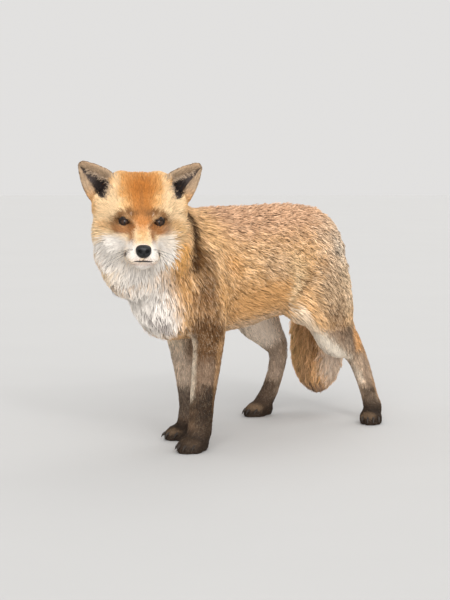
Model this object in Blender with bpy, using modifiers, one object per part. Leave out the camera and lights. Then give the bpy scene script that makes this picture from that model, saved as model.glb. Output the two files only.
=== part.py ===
"""A red fox at life size, standing with its head turned to its left, as a still display model.

Metres, +Z up. The fox faces -Y and its left side is +X. The origin is on the floor, under the middle
of the bounding box. The sizes run out to the tips of the coat. The whole body is fused from lofts and
ovals, then parted into its named solids by sleeves and thin slabs.
"""

import math

import bmesh
import bpy
import numpy as np
from mathutils import Matrix, Vector

# ---------------------------------------------------------------- driving sizes
# Every place below is given from the middle between the front paws, then shifted once at the end.
FLOOR_SHIFT = Vector((0.0113, -0.1393, 0.0))
CUT_GAP = 0.0004             # width of the thin cuts between nodes
SEAT_GAP = 0.0003            # clearance round an ear, an eye, the nose, a claw and the tail
EAR_SEAT_GAP = 0.0006
SLEEVE_GROWTH = 0.012        # how much wider than its leg a parting sleeve is
SLAB_SIZE = 0.34
BODY_VOXEL = 0.004
FINE_VOXEL = 0.003
BODY_TRIANGLES = 2700        # budget of the fused body before it is parted

# Head: its own frame stands at the middle of the line between the eyes.
HEAD_PLACE = Vector((0.0500, -0.1550, 0.3902))
HEAD_YAW = math.radians(48)      # to the fox's left
HEAD_PITCH = math.radians(9.5)   # nose down
HEAD_ROLL = math.radians(1)      # left side down
EYE_PLACE = (0.0272, 0.0070, 0.0020)     # left, forward, up
EYE_RADIUS = 0.0105
EYE_OPENING = (0.0105, 0.0050, 0.0062)  # half sizes of the hollow between the lids
EYE_OPENING_AHEAD = 0.0100   # from the eyeball's middle
NOSE_PLACE = (0.0, 0.0750, -0.0320)
NOSE_RADII = (0.0118, 0.0085, 0.0098)

EAR_ROOT = (0.057, -0.050, 0.040)
EAR_TIP = (0.099, -0.060, 0.084)
EAR_SUNK = 0.34              # share of the ear's length that is buried in the head
EAR_HALF_WIDTH = 0.030
EAR_CUP = 0.017
EAR_WALL = 0.0080
EAR_TURN_OUT = 0.34

PAW_WRIST = 0.036            # level of the cut above the paws
PAW_BOX = ((-0.3, -0.3, 0.0), (0.3, 0.7, PAW_WRIST - CUT_GAP / 2))
BODY_BOX = ((-0.3, -0.5, PAW_WRIST + CUT_GAP / 2), (0.3, 0.7, 0.7))
# Cuts across the body and the brush: a place and the direction square to the cut
THROAT_CUT = ((0.0, -0.075, -0.040), (0.20, -0.83, 0.52))    # its place is on the head's axes
COLLAR_CUT = ((0.0, -0.022, 0.330), (0.0, -0.75, 0.66))
WAIST_CUT = ((0.0, 0.165, 0.300), (0.0, 1.0, 0.0))
BRUSH_CUTS = (
    ((-0.026, 0.417, 0.268), (-0.28, 0.26, -0.92)),
    ((-0.066, 0.450, 0.135), (-0.10, 0.10, -1.0)),
)
CLAW_RADIUS = 0.0023

X_AXIS = Vector((1, 0, 0))


# ---------------------------------------------------------------- helpers
def clear_scene():
    for obj in list(bpy.data.objects):
        bpy.data.objects.remove(obj)


def material(name, colour, roughness):
    mat = bpy.data.materials.new(name)
    mat.use_nodes = True
    shader = mat.node_tree.nodes["Principled BSDF"]
    shader.inputs["Base Color"].default_value = (*colour, 1.0)
    shader.inputs["Roughness"].default_value = roughness
    mat.diffuse_color = (*colour, 1.0)
    return mat


def flowing(rows, steps):
    """Catmull-Rom through rows of numbers, with `steps` rows for each gap, so that a few stations
    give a smooth run of sections."""
    rows = np.array(rows, float)
    ends = np.vstack([2 * rows[0] - rows[1], rows, 2 * rows[-1] - rows[-2]])
    t = np.linspace(0, 1, steps, endpoint=False)[:, None]
    out = []
    for i in range(1, len(ends) - 2):
        a, b, c, d = ends[i - 1], ends[i], ends[i + 1], ends[i + 2]
        out.append(b + 0.5 * t * (c - a + t * (2 * a - 5 * b + 4 * c - d + t * (3 * (b - c) + d - a))))
    out.append(rows[-1:])
    return np.vstack(out)


def loft(stations, side=X_AXIS, steps=5, points=24, squareness=1.0, grow=0.0):
    """A closed tube through unlike oval sections. A station is (centre, half width, rise, drop): the
    half width runs along `side`, rise and drop run up and down across the path. A squareness above 1
    fills the corners of the oval; `grow` widens every section. Its walls are triangles on fixed
    diagonals, so that a grown copy stays clear of it all over."""
    rows = [(*centre, width, rise, drop) for centre, width, rise, drop in stations]
    rows = flowing(rows, steps)
    centres = rows[:, :3]
    sizes = np.maximum(rows[:, 3:], 0.0004) + grow
    along = np.gradient(centres, axis=0)
    along /= np.linalg.norm(along, axis=1, keepdims=True)
    centres[0] -= along[0] * grow
    centres[-1] += along[-1] * grow
    side = np.array(side, float)
    across = side - along * (along @ side)[:, None]
    across /= np.linalg.norm(across, axis=1, keepdims=True)
    up = np.cross(across, along)
    angle = np.linspace(0, 2 * math.pi, points, endpoint=False)
    cosine = np.sign(np.cos(angle)) * np.abs(np.cos(angle)) ** (1 / squareness)
    sine = np.sign(np.sin(angle)) * np.abs(np.sin(angle)) ** (1 / squareness)
    tall = np.where(sine[None, :] > 0, sizes[:, 1:2], sizes[:, 2:3]) * sine[None, :]
    wide = sizes[:, 0:1] * cosine[None, :]
    rings = centres[:, None] + across[:, None] * wide[..., None] + up[:, None] * tall[..., None]
    count = len(rings)
    faces = []
    for i in range(count - 1):
        for j in range(points):
            k = (j + 1) % points
            near, near_next, far, far_next = (
                i * points + j, i * points + k, (i + 1) * points + j, (i + 1) * points + k,
            )
            faces += [(near, near_next, far_next), (near, far_next, far)]
    faces.append(tuple(reversed(range(points))))
    faces.append(tuple((count - 1) * points + j for j in range(points)))
    mesh = bpy.data.meshes.new("loft")
    mesh.from_pydata(rings.reshape(-1, 3).tolist(), [], faces)
    return facing_out(mesh)


def facing_out(mesh):
    """The mesh with all its faces turned outwards."""
    bm = bmesh.new()
    bm.from_mesh(mesh)
    bmesh.ops.recalc_face_normals(bm, faces=bm.faces)
    bm.to_mesh(mesh)
    bm.free()
    return mesh


def oval(centre, radii, turn=Matrix.Identity(3), segments=24, grow=0.0):
    """An ellipsoid with these half sizes, turned by a 3x3 matrix."""
    bm = bmesh.new()
    bmesh.ops.create_uvsphere(bm, u_segments=segments, v_segments=segments // 2, radius=1.0)
    sizes = [radius + grow for radius in radii]
    bmesh.ops.transform(bm, matrix=Matrix.Diagonal((*sizes, 1.0)), verts=bm.verts)
    bmesh.ops.transform(bm, matrix=Matrix.Translation(centre) @ turn.to_4x4(), verts=bm.verts)
    mesh = bpy.data.meshes.new("oval")
    bm.to_mesh(mesh)
    bm.free()
    return facing_out(mesh)


def box(low, high):
    """A block between two corners."""
    low, high = Vector(low), Vector(high)
    bm = bmesh.new()
    bmesh.ops.create_cube(bm, size=1.0)
    bmesh.ops.transform(bm, matrix=Matrix.Diagonal((*(high - low), 1.0)), verts=bm.verts)
    bmesh.ops.transform(bm, matrix=Matrix.Translation((low + high) / 2), verts=bm.verts)
    mesh = bpy.data.meshes.new("box")
    bm.to_mesh(mesh)
    bm.free()
    return mesh


def slab(place, normal):
    """A wide block as thick as a cut, through a place and square to a normal."""
    turn = Vector(normal).to_track_quat("Z", "Y").to_matrix().to_4x4()
    bm = bmesh.new()
    bmesh.ops.create_cube(bm, size=1.0)
    bmesh.ops.transform(bm, matrix=Matrix.Diagonal((SLAB_SIZE, SLAB_SIZE, CUT_GAP, 1.0)), verts=bm.verts)
    bmesh.ops.transform(bm, matrix=Matrix.Translation(place) @ turn, verts=bm.verts)
    mesh = bpy.data.meshes.new("slab")
    bm.to_mesh(mesh)
    bm.free()
    return mesh


def joined(meshes):
    """One mesh with copies of these."""
    bm = bmesh.new()
    for mesh in meshes:
        bm.from_mesh(mesh)
    whole = bpy.data.meshes.new("joined")
    bm.to_mesh(whole)
    bm.free()
    return whole


def swollen(mesh, distance):
    """The mesh with every corner pushed out along its normal."""
    bm = bmesh.new()
    bm.from_mesh(mesh)
    bm.normal_update()
    for vert in bm.verts:
        vert.co += vert.normal * distance
    wide = bpy.data.meshes.new("swollen")
    bm.to_mesh(wide)
    bm.free()
    return wide


def helper(name, mesh, collection):
    """An object that shapes others and isn't part of the model."""
    obj = bpy.data.objects.new(name, mesh)
    collection.objects.link(obj)
    obj.hide_render = True
    obj.display_type = "WIRE"
    return obj


def evaluated(obj):
    """The mesh that the object's modifiers give; the object goes."""
    bpy.context.view_layer.update()
    graph = bpy.context.evaluated_depsgraph_get()
    mesh = bpy.data.meshes.new_from_object(obj.evaluated_get(graph))
    bpy.data.objects.remove(obj)
    return mesh


def fuse(meshes, voxel, relax, collection):
    """One closed skin over overlapping pieces: joined, remeshed in voxels and relaxed."""
    obj = helper("fused", joined(meshes), collection)
    remesh = obj.modifiers.new("Fuse", "REMESH")
    remesh.mode = "VOXEL"
    remesh.voxel_size = voxel
    smooth = obj.modifiers.new("Relax", "SMOOTH")
    smooth.factor = 0.5
    smooth.iterations = relax
    return evaluated(obj)


def thinned(mesh, triangles, collection):
    """The mesh brought down to a budget of triangles."""
    mesh.calc_loop_triangles()
    obj = helper("thinned", mesh, collection)
    decimate = obj.modifiers.new("Thin out", "DECIMATE")
    decimate.ratio = triangles / len(mesh.loop_triangles)
    return evaluated(obj)


def combined(mesh, tool, operation, collection):
    """DIFFERENCE or INTERSECT of two closed meshes."""
    body = helper("body", mesh, collection)
    other = helper("tool", tool, collection)
    boolean = body.modifiers.new("Cut", "BOOLEAN")
    boolean.operation = operation
    boolean.solver = "EXACT"
    boolean.object = other
    result = evaluated(body)
    bpy.data.objects.remove(other)
    return result


def loose_pieces(mesh):
    """The separate closed bodies in a mesh, the largest first."""
    bm = bmesh.new()
    bm.from_mesh(mesh)
    bm.verts.ensure_lookup_table()
    left = set(range(len(bm.verts)))
    groups = []
    while left:
        group, edge = set(), [min(left)]
        while edge:
            i = edge.pop()
            if i in group:
                continue
            group.add(i)
            edge += [e.other_vert(bm.verts[i]).index for e in bm.verts[i].link_edges]
        left -= group
        groups.append(group)
    pieces = []
    for group in sorted(groups, key=lambda g: (-len(g), min(g))):
        part = bm.copy()
        part.verts.ensure_lookup_table()
        gone = [v for v in part.verts if v.index not in group]
        bmesh.ops.delete(part, geom=gone, context="VERTS")
        piece = bpy.data.meshes.new("piece")
        part.to_mesh(piece)
        part.free()
        pieces.append(piece)
    bm.free()
    return pieces


def middle(mesh):
    """The mean of the mesh's corners."""
    return sum((v.co for v in mesh.vertices), Vector()) / len(mesh.vertices)


def named(mesh, anchors):
    """Each loose piece under the name whose anchor is nearest to its middle."""
    pieces = loose_pieces(mesh)[: len(anchors)]
    out = {}
    for name, anchor in anchors.items():
        nearest = min(pieces, key=lambda piece: (middle(piece) - Vector(anchor)).length)
        out[name] = nearest
    return out


# ---------------------------------------------------------------- the head's own frame
def head_axes():
    """Columns: the head's left, forward and up in the model's frame."""
    turn = Matrix.Rotation(HEAD_YAW, 3, "Z") @ Matrix.Rotation(HEAD_PITCH, 3, "X")
    turn = turn @ Matrix.Rotation(HEAD_ROLL, 3, "Y")
    left, forward, up = turn @ Vector((1, 0, 0)), turn @ Vector((0, -1, 0)), turn @ Vector((0, 0, 1))
    return Matrix((left, forward, up)).transposed()


HEAD_AXES = head_axes()


def on_head(left, forward, up):
    """A place given from the middle of the eyes: left, forward and up."""
    return HEAD_PLACE + HEAD_AXES @ Vector((left, forward, up))


# ---------------------------------------------------------------- masses of the body
def trunk():
    """Chest to rump: (y, z of the widest level, half width, rise to the back, drop to the belly)."""
    stations = (
        (-0.104, 0.285, 0.026, 0.034, 0.030),
        (-0.088, 0.285, 0.050, 0.062, 0.058),
        (-0.052, 0.282, 0.068, 0.090, 0.086),
        (0.000, 0.285, 0.077, 0.117, 0.103),
        (0.060, 0.290, 0.082, 0.119, 0.104),
        (0.130, 0.295, 0.082, 0.113, 0.104),
        (0.200, 0.300, 0.080, 0.109, 0.098),
        (0.270, 0.300, 0.077, 0.109, 0.092),
        (0.320, 0.298, 0.072, 0.105, 0.086),
        (0.356, 0.292, 0.060, 0.090, 0.076),
        (0.382, 0.288, 0.040, 0.062, 0.060),
        (0.396, 0.286, 0.016, 0.028, 0.028),
    )
    return loft([((0, y, z), w, rise, drop) for y, z, w, rise, drop in stations])


def neck():
    """From between the shoulders up and round to the back of the head."""
    return loft(
        (
            (Vector((0, 0.050, 0.320)), 0.060, 0.070, 0.075),
            (Vector((0, -0.010, 0.326)), 0.066, 0.074, 0.085),
            (Vector((0.004, -0.060, 0.336)), 0.070, 0.072, 0.092),
            (Vector((0.014, -0.100, 0.350)), 0.072, 0.068, 0.088),
            (on_head(0, -0.060, -0.010), 0.066, 0.062, 0.070),
        ),
    )


def body_furs():
    """Fullness of the shoulders, the chest's front, the flank folds and the rump."""
    pieces = [
        oval((0.002, -0.072, 0.266), (0.053, 0.044, 0.064)),
        oval((0, -0.040, 0.222), (0.054, 0.046, 0.038)),
        oval((0, 0.345, 0.302), (0.056, 0.046, 0.080)),
    ]
    for side in (1, -1):
        pieces.append(oval((side * 0.047, -0.002, 0.285), (0.036, 0.060, 0.090)))
        pieces.append(oval((side * 0.050, 0.256, 0.230), (0.025, 0.048, 0.040)))
        pieces.append(oval((side * 0.043, 0.302, 0.318), (0.040, 0.069, 0.066)))
    return pieces


# Legs: (x, y, z, half width, half depth) from inside the trunk down to the floor.
FRONT_LEFT = (
    (0.044, 0.004, 0.330, 0.020, 0.034),
    (0.052, -0.008, 0.280, 0.030, 0.046),
    (0.058, -0.006, 0.225, 0.030, 0.036),
    (0.060, -0.005, 0.185, 0.026, 0.028),
    (0.059, -0.010, 0.140, 0.0230, 0.026),
    (0.058, -0.018, 0.090, 0.0205, 0.0225),
    (0.058, -0.022, 0.055, 0.0195, 0.0215),
    (0.058, -0.026, 0.030, 0.0200, 0.022),
    (0.058, -0.034, 0.014, 0.0190, 0.019),
)
FRONT_RIGHT = (
    (-0.044, 0.006, 0.330, 0.020, 0.034),
    (-0.050, 0.010, 0.280, 0.030, 0.046),
    (-0.054, 0.032, 0.225, 0.030, 0.037),
    (-0.052, 0.046, 0.185, 0.026, 0.029),
    (-0.049, 0.054, 0.140, 0.0230, 0.025),
    (-0.046, 0.060, 0.090, 0.0205, 0.022),
    (-0.044, 0.062, 0.055, 0.0195, 0.0215),
    (-0.044, 0.058, 0.030, 0.0200, 0.022),
    (-0.045, 0.050, 0.014, 0.0190, 0.019),
)
HIND_LEFT = (
    (0.034, 0.300, 0.366, 0.022, 0.046),
    (0.046, 0.302, 0.325, 0.034, 0.061),
    (0.056, 0.302, 0.280, 0.036, 0.069),
    (0.067, 0.301, 0.238, 0.034, 0.066),
    (0.065, 0.322, 0.202, 0.029, 0.058),
    (0.056, 0.349, 0.170, 0.0240, 0.049),
    (0.049, 0.404, 0.134, 0.0190, 0.0240),
    (0.056, 0.426, 0.090, 0.0165, 0.0180),
    (0.070, 0.427, 0.050, 0.0155, 0.0160),
    (0.082, 0.423, 0.028, 0.0175, 0.0175),
    (0.088, 0.412, 0.014, 0.0175, 0.0175),
)
HIND_RIGHT = (
    (-0.034, 0.300, 0.366, 0.022, 0.046),
    (-0.048, 0.300, 0.325, 0.034, 0.062),
    (-0.066, 0.290, 0.280, 0.036, 0.070),
    (-0.087, 0.286, 0.238, 0.036, 0.066),
    (-0.098, 0.300, 0.202, 0.031, 0.055),
    (-0.104, 0.336, 0.166, 0.0240, 0.037),
    (-0.110, 0.376, 0.128, 0.0180, 0.023),
    (-0.113, 0.376, 0.090, 0.0160, 0.0175),
    (-0.118, 0.364, 0.050, 0.0160, 0.0165),
    (-0.121, 0.350, 0.028, 0.0175, 0.0175),
    (-0.124, 0.340, 0.014, 0.0175, 0.0175),
)
LEGS = {
    "front_left": FRONT_LEFT,
    "front_right": FRONT_RIGHT,
    "hind_left": HIND_LEFT,
    "hind_right": HIND_RIGHT,
}
# Levels of the cut between the upper and the lower part of each leg.
LEG_CUTS = {"front_left": 0.172, "front_right": 0.172, "hind_left": 0.186, "hind_right": 0.186}
# Paws: middle of the toes' roots on the floor, the yaw of the toes to the fox's left in degrees, and
# the width against a front paw's.
PAWS = {
    "front_left": (Vector((0.058, -0.044, 0)), 8, 0.96),
    "front_right": (Vector((-0.046, 0.038, 0)), -14, 0.96),
    "hind_left": (Vector((0.094, 0.402, 0)), 36, 0.84),
    "hind_right": (Vector((-0.123, 0.332, 0)), -4, 0.84),
}
# Toes: across and ahead of the paw's middle, and how far each splays.
TOES = ((-0.0150, -0.002, -9), (-0.0052, 0.009, -3), (0.0052, 0.009, 3), (0.0150, -0.002, 9))


def leg(stations):
    return loft([((x, y, z), w, d, d) for x, y, z, w, d in stations], steps=4, points=20)


def sleeve(stations, grow):
    """A coarse tube a little wider than a leg, which parts it from the trunk."""
    return loft([((x, y, z), w, d, d) for x, y, z, w, d in stations], steps=1, points=8, grow=grow)


def paw_turn(yaw):
    """Columns: the paw's left, its forward and up."""
    turn = Matrix.Rotation(math.radians(yaw), 3, "Z")
    return Matrix((turn @ Vector((1, 0, 0)), turn @ Vector((0, -1, 0)), Vector((0, 0, 1)))).transposed()


def toe_places(place, yaw, width):
    """For each toe: its root, knuckle and tip at floor level, and its turn."""
    axes = paw_turn(yaw)
    for across, ahead, splay in TOES:
        root = place + axes @ Vector((across * 0.8 * width, ahead - 0.012, 0))
        knuckle = place + axes @ Vector((across * width, ahead + 0.003, 0))
        tip = place + axes @ Vector((across * 1.06 * width, ahead + 0.0135, 0))
        yield root, knuckle, tip, paw_turn(yaw + splay)


def paw(place, yaw, width):
    """Four toes, each of three ovals, and the pad behind them."""
    axes = paw_turn(yaw)
    pieces = [oval(place + axes @ Vector((0, -0.018, 0.0110)), (0.0190 * width, 0.0190, 0.0150), axes, 16)]
    for root, knuckle, tip, turn in toe_places(place, yaw, width):
        for spot, height, radii in (
            (root, 0.0150, (0.0095, 0.0150, 0.0130)),
            (knuckle, 0.0120, (0.0094, 0.0125, 0.0135)),
            (tip, 0.0080, (0.0088, 0.0090, 0.0102)),
        ):
            sizes = (radii[0] * width, radii[1], radii[2])
            pieces.append(oval(spot + Vector((0, 0, height)), sizes, turn, 16))
    return pieces


def claws(place, yaw, width, grow=0.0):
    """One small hook on each toe, from inside the toe's tip forward and down."""
    line = ((0.0010, 0.0135, 1.0), (0.0065, 0.0135, 0.95), (0.0110, 0.0105, 0.70), (0.0138, 0.0060, 0.20))
    hooks = []
    for root, knuckle, tip, turn in toe_places(place, yaw, width):
        stations = []
        for forward, height, share in line:
            size = CLAW_RADIUS * share
            stations.append((tip + turn @ Vector((0, forward, height)), size, size, size))
        hooks.append(loft(stations, side=turn.col[0], steps=1, points=6, grow=grow))
    return hooks


def tail(grow=0.0):
    """Brush hanging from the rump, close behind the thighs."""
    stations = (
        ((0.000, 0.350, 0.352), 0.022, 0.024, 0.024),
        ((-0.006, 0.386, 0.326), 0.028, 0.028, 0.028),
        ((-0.024, 0.412, 0.280), 0.038, 0.033, 0.034),
        ((-0.048, 0.432, 0.222), 0.053, 0.038, 0.040),
        ((-0.069, 0.448, 0.165), 0.061, 0.041, 0.042),
        ((-0.077, 0.453, 0.115), 0.059, 0.040, 0.041),
        ((-0.076, 0.453, 0.074), 0.047, 0.034, 0.035),
        ((-0.073, 0.451, 0.049), 0.028, 0.021, 0.021),
        ((-0.072, 0.450, 0.038), 0.009, 0.007, 0.007),
    )
    return loft(stations, steps=2, points=16, grow=grow)


# ---------------------------------------------------------------- head
def skull():
    """Muzzle, face and crown along the head's forward line:
    (forward, middle's height, half width, rise, drop)."""
    stations = (
        (0.0770, -0.0360, 0.0080, 0.0090, 0.0100),
        (0.0720, -0.0365, 0.0150, 0.0140, 0.0180),
        (0.0640, -0.0365, 0.0180, 0.0165, 0.0230),
        (0.0500, -0.0360, 0.0195, 0.0185, 0.0270),
        (0.0340, -0.0345, 0.0230, 0.0220, 0.0300),
        (0.0180, -0.0320, 0.0310, 0.0300, 0.0330),
        (0.0040, -0.0270, 0.0440, 0.0410, 0.0400),
        (-0.0120, -0.0200, 0.0550, 0.0530, 0.0460),
        (-0.0320, -0.0120, 0.0620, 0.0660, 0.0520),
        (-0.0520, -0.0080, 0.0640, 0.0760, 0.0540),
        (-0.0720, -0.0080, 0.0610, 0.0790, 0.0540),
        (-0.0900, -0.0080, 0.0480, 0.0640, 0.0440),
        (-0.1020, -0.0080, 0.0240, 0.0340, 0.0240),
    )
    return loft(
        [(on_head(0, forward, up), w, rise, drop) for forward, up, w, rise, drop in stations],
        side=HEAD_AXES.col[0],
        steps=4,
        squareness=1.15,
    )


def ruffs():
    """Fur of the throat, the cheeks and the ears' roots."""
    pieces = [oval(on_head(0, -0.042, -0.086), (0.066, 0.046, 0.058), HEAD_AXES)]
    for side in (1, -1):
        pieces.append(oval(on_head(side * 0.045, -0.044, -0.026), (0.037, 0.036, 0.046), HEAD_AXES))
        pieces.append(oval(on_head(side * 0.040, -0.046, -0.064), (0.037, 0.038, 0.040), HEAD_AXES))
        pieces.append(oval(on_head(side * 0.048, -0.050, 0.012), (0.033, 0.032, 0.038), HEAD_AXES))
        pieces.append(oval(on_head(side * 0.030, -0.058, 0.040), (0.030, 0.034, 0.034), HEAD_AXES))
        pieces.append(oval(on_head(side * 0.036, -0.016, -0.042), (0.028, 0.026, 0.026), HEAD_AXES))
    return pieces


def face_details():
    """Whisker pads, lips, brows, cheekbones and chin."""
    pieces = [oval(on_head(0, 0.049, -0.0570), (0.0155, 0.0210, 0.0105), HEAD_AXES)]
    for side in (1, -1):
        for place, radii in (
            ((0.0135, 0.058, -0.0450), (0.0125, 0.0190, 0.0135)),
            ((0.0170, 0.036, -0.0470), (0.0125, 0.0240, 0.0140)),
            ((0.0240, -0.007, 0.0130), (0.0180, 0.0120, 0.0090)),
            ((0.0300, -0.008, -0.0180), (0.0220, 0.0180, 0.0160)),
        ):
            pieces.append(oval(on_head(side * place[0], place[1], place[2]), radii, HEAD_AXES))
    return pieces


def ear(side, collection):
    """A cupped leaf: width and hollow are functions of the length, and a Solidify gives its wall."""
    root = on_head(side * EAR_ROOT[0], EAR_ROOT[1], EAR_ROOT[2])
    tip = on_head(side * EAR_TIP[0], EAR_TIP[1], EAR_TIP[2])
    length = (tip - root).length
    axis = (tip - root).normalized()
    facing = HEAD_AXES @ Vector((side * EAR_TURN_OUT, 1.0, 0.05))
    facing = (facing - axis * facing.dot(axis)).normalized()
    across = axis.cross(facing)
    rows, columns = 8, 7
    bm = bmesh.new()
    grid = []
    for i in range(rows):
        s = -EAR_SUNK + (1 + EAR_SUNK) * i / (rows - 1)
        inner = min(max(s, 0), 1)
        width = EAR_HALF_WIDTH * max(0.16, (1 - inner ** 1.7) ** 0.75)
        line = []
        for j in range(columns):
            t = 2 * j / (columns - 1) - 1
            hollow = EAR_CUP * (1 - 0.55 * inner) * (width / EAR_HALF_WIDTH) * (1 - t * t)
            place = root + axis * (s * length) + across * (t * width) - facing * hollow
            line.append(bm.verts.new(place))
        grid.append(line)
    for i in range(rows - 1):
        for j in range(columns - 1):
            bm.faces.new((grid[i][j], grid[i][j + 1], grid[i + 1][j + 1]))
            bm.faces.new((grid[i][j], grid[i + 1][j + 1], grid[i + 1][j]))
    bmesh.ops.recalc_face_normals(bm, faces=bm.faces)
    leaf = bpy.data.meshes.new("leaf")
    bm.to_mesh(leaf)
    bm.free()
    obj = helper("walled", leaf, collection)
    solid = obj.modifiers.new("Wall", "SOLIDIFY")
    solid.thickness = EAR_WALL
    solid.offset = 0.0
    solid.use_even_offset = True
    return facing_out(evaluated(obj))


def eye(side, grow=0.0):
    place = on_head(side * EYE_PLACE[0], EYE_PLACE[1], EYE_PLACE[2])
    return oval(place, (EYE_RADIUS,) * 3, HEAD_AXES, 12, grow)


def eye_opening(side):
    """The almond hollow that shows the eyeball between its lids."""
    place = on_head(side * EYE_PLACE[0], EYE_PLACE[1] + EYE_OPENING_AHEAD, EYE_PLACE[2])
    return oval(place, EYE_OPENING, HEAD_AXES, 14)


def nose(grow=0.0):
    return oval(on_head(*NOSE_PLACE), NOSE_RADII, HEAD_AXES, 12, grow)


# ---------------------------------------------------------------- parting
def parted(whole, tools):
    """The fused body as named closed solids."""

    def cut(mesh, tool):
        return combined(mesh, tool, "DIFFERENCE", tools)

    def common(mesh, tool):
        return combined(mesh, tool, "INTERSECT", tools)

    for side in (1, -1):
        whole = cut(whole, swollen(ear(side, tools), EAR_SEAT_GAP))
        whole = cut(whole, eye(side, SEAT_GAP))
        whole = cut(whole, eye_opening(side))
    whole = cut(whole, nose(SEAT_GAP))
    whole = cut(whole, tail(SEAT_GAP))
    nodes = {}
    paws = common(whole, box(*PAW_BOX))
    nodes.update(named(paws, {"paw_" + key: size[0] for key, size in PAWS.items()}))
    rest = common(whole, box(*BODY_BOX))
    for key, stations in LEGS.items():
        limb = common(rest, sleeve(stations, SLEEVE_GROWTH))
        level = LEG_CUTS[key]
        limb = cut(limb, slab((stations[3][0], stations[3][1], level), (0, 0, 1)))
        top, bottom = stations[1][:3], stations[6][:3]
        nodes.update(named(limb, {"upper_leg_" + key: top, "lower_leg_" + key: bottom}))
        rest = cut(rest, sleeve(stations, SLEEVE_GROWTH + CUT_GAP))
    rest = cut(rest, slab(on_head(*THROAT_CUT[0]), THROAT_CUT[1]))
    rest = cut(rest, slab(*COLLAR_CUT))
    rest = cut(rest, slab(*WAIST_CUT))
    anchors = {
        "head": on_head(0, -0.02, 0.0),
        "neck": (0, -0.080, 0.320),
        "trunk_chest": (0, 0.060, 0.290),
        "trunk_loin": (0, 0.270, 0.300),
    }
    nodes.update(named(rest, anchors))
    return nodes


def main():
    clear_scene()
    scene = bpy.context.scene
    model = bpy.data.collections.new("red_fox")
    tools = bpy.data.collections.new("cutters")
    scene.collection.children.link(model)
    scene.collection.children.link(tools)
    russet = material("russet_coat", (0.46, 0.20, 0.07), 0.85)
    grizzled = material("grizzled_coat", (0.42, 0.30, 0.21), 0.85)
    dark = material("dark_coat", (0.060, 0.045, 0.038), 0.85)
    brush = material("brush_coat", (0.45, 0.28, 0.15), 0.85)
    leather = material("nose_leather", (0.012, 0.011, 0.011), 0.40)
    eyeball = material("eyeball", (0.045, 0.022, 0.010), 0.10)
    horn = material("horn", (0.30, 0.24, 0.18), 0.45)

    masses = [trunk(), neck(), skull(), *body_furs(), *ruffs()]
    masses += [leg(stations) for stations in LEGS.values()]
    body = fuse(masses, BODY_VOXEL, 12, tools)
    fine = [body, *face_details()]
    for stance in PAWS.values():
        fine += paw(*stance)
    whole = thinned(fuse(fine, FINE_VOXEL, 5, tools), BODY_TRIANGLES, tools)

    nodes = parted(whole, tools)
    for key, stance in PAWS.items():
        name = "paw_" + key
        for grown in claws(*stance, SEAT_GAP):
            nodes[name] = combined(nodes[name], grown, "DIFFERENCE", tools)
        for number, claw in enumerate(claws(*stance), 1):
            nodes["claw_%s_%d" % (key, number)] = claw
    brushes = tail()
    for place, normal in BRUSH_CUTS:
        brushes = combined(brushes, slab(place, normal), "DIFFERENCE", tools)
    anchors = {
        "tail_root": (-0.004, 0.385, 0.325),
        "tail_middle": (-0.048, 0.435, 0.200),
        "tail_end": (-0.070, 0.450, 0.085),
    }
    nodes.update(named(brushes, anchors))
    for side, word in ((1, "left"), (-1, "right")):
        nodes["ear_" + word] = ear(side, tools)
        nodes["eye_" + word] = eye(side)
    nodes["nose"] = nose()

    finishes = (
        ("head", russet), ("neck", russet), ("trunk", grizzled), ("upper", russet), ("lower", dark),
        ("paw", dark), ("tail", brush), ("ear", dark), ("eye", eyeball), ("nose", leather), ("claw", horn),
    )
    for name, mesh in nodes.items():
        mesh.transform(Matrix.Translation(FLOOR_SHIFT))
        mesh.materials.clear()
        mesh.materials.append(dict(finishes)[name.split("_")[0]])
        mesh.name = name
        mesh.shade_smooth()
        model.objects.link(bpy.data.objects.new(name, mesh))


main()
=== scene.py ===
"""A red fox as a still display model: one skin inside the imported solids, its coat, its face and its claws."""

import bmesh
import bpy
import numpy as np
from mathutils import Matrix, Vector
from mathutils.bvhtree import BVHTree
from mathutils.kdtree import KDTree


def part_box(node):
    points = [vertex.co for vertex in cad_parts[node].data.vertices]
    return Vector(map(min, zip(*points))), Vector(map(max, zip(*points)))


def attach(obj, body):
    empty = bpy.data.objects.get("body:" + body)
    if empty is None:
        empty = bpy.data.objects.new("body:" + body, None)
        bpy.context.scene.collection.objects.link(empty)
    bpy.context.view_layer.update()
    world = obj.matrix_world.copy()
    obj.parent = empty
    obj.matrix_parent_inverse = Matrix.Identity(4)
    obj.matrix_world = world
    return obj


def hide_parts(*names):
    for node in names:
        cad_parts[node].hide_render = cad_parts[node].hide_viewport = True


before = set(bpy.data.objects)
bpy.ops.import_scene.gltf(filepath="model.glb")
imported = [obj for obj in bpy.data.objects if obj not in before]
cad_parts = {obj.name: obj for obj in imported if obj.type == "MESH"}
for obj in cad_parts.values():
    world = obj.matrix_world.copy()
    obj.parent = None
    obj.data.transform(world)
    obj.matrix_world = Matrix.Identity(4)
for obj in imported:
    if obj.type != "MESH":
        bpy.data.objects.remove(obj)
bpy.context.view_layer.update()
chance = np.random.default_rng(7)

# ------------------------------------------------------------------ places and small tools

MM = 0.001
NOSE_DROP = np.arctan(34 / 68)  # the nose stands 68 mm before the eyes and 34 mm below them

SIDES = {"left": 1, "right": -1}
LEGS = ("front_left", "front_right", "hind_left", "hind_right")
FLESH = ["head", "neck", "trunk_chest", "trunk_loin", "tail_root", "tail_middle", "tail_end", "ear_left",
         "ear_right"] + [f"{part}_{leg}" for part in ("upper_leg", "lower_leg", "paw") for leg in LEGS]
FILLED = FLESH + ["eye_left", "eye_right", "nose"]
FACE = ("head", "eye_left", "eye_right", "nose")
DRIFT_WAVES = 7
DRIFT_PEAK = 1.5  # brings the usual peaks of drift() to about 1


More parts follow.
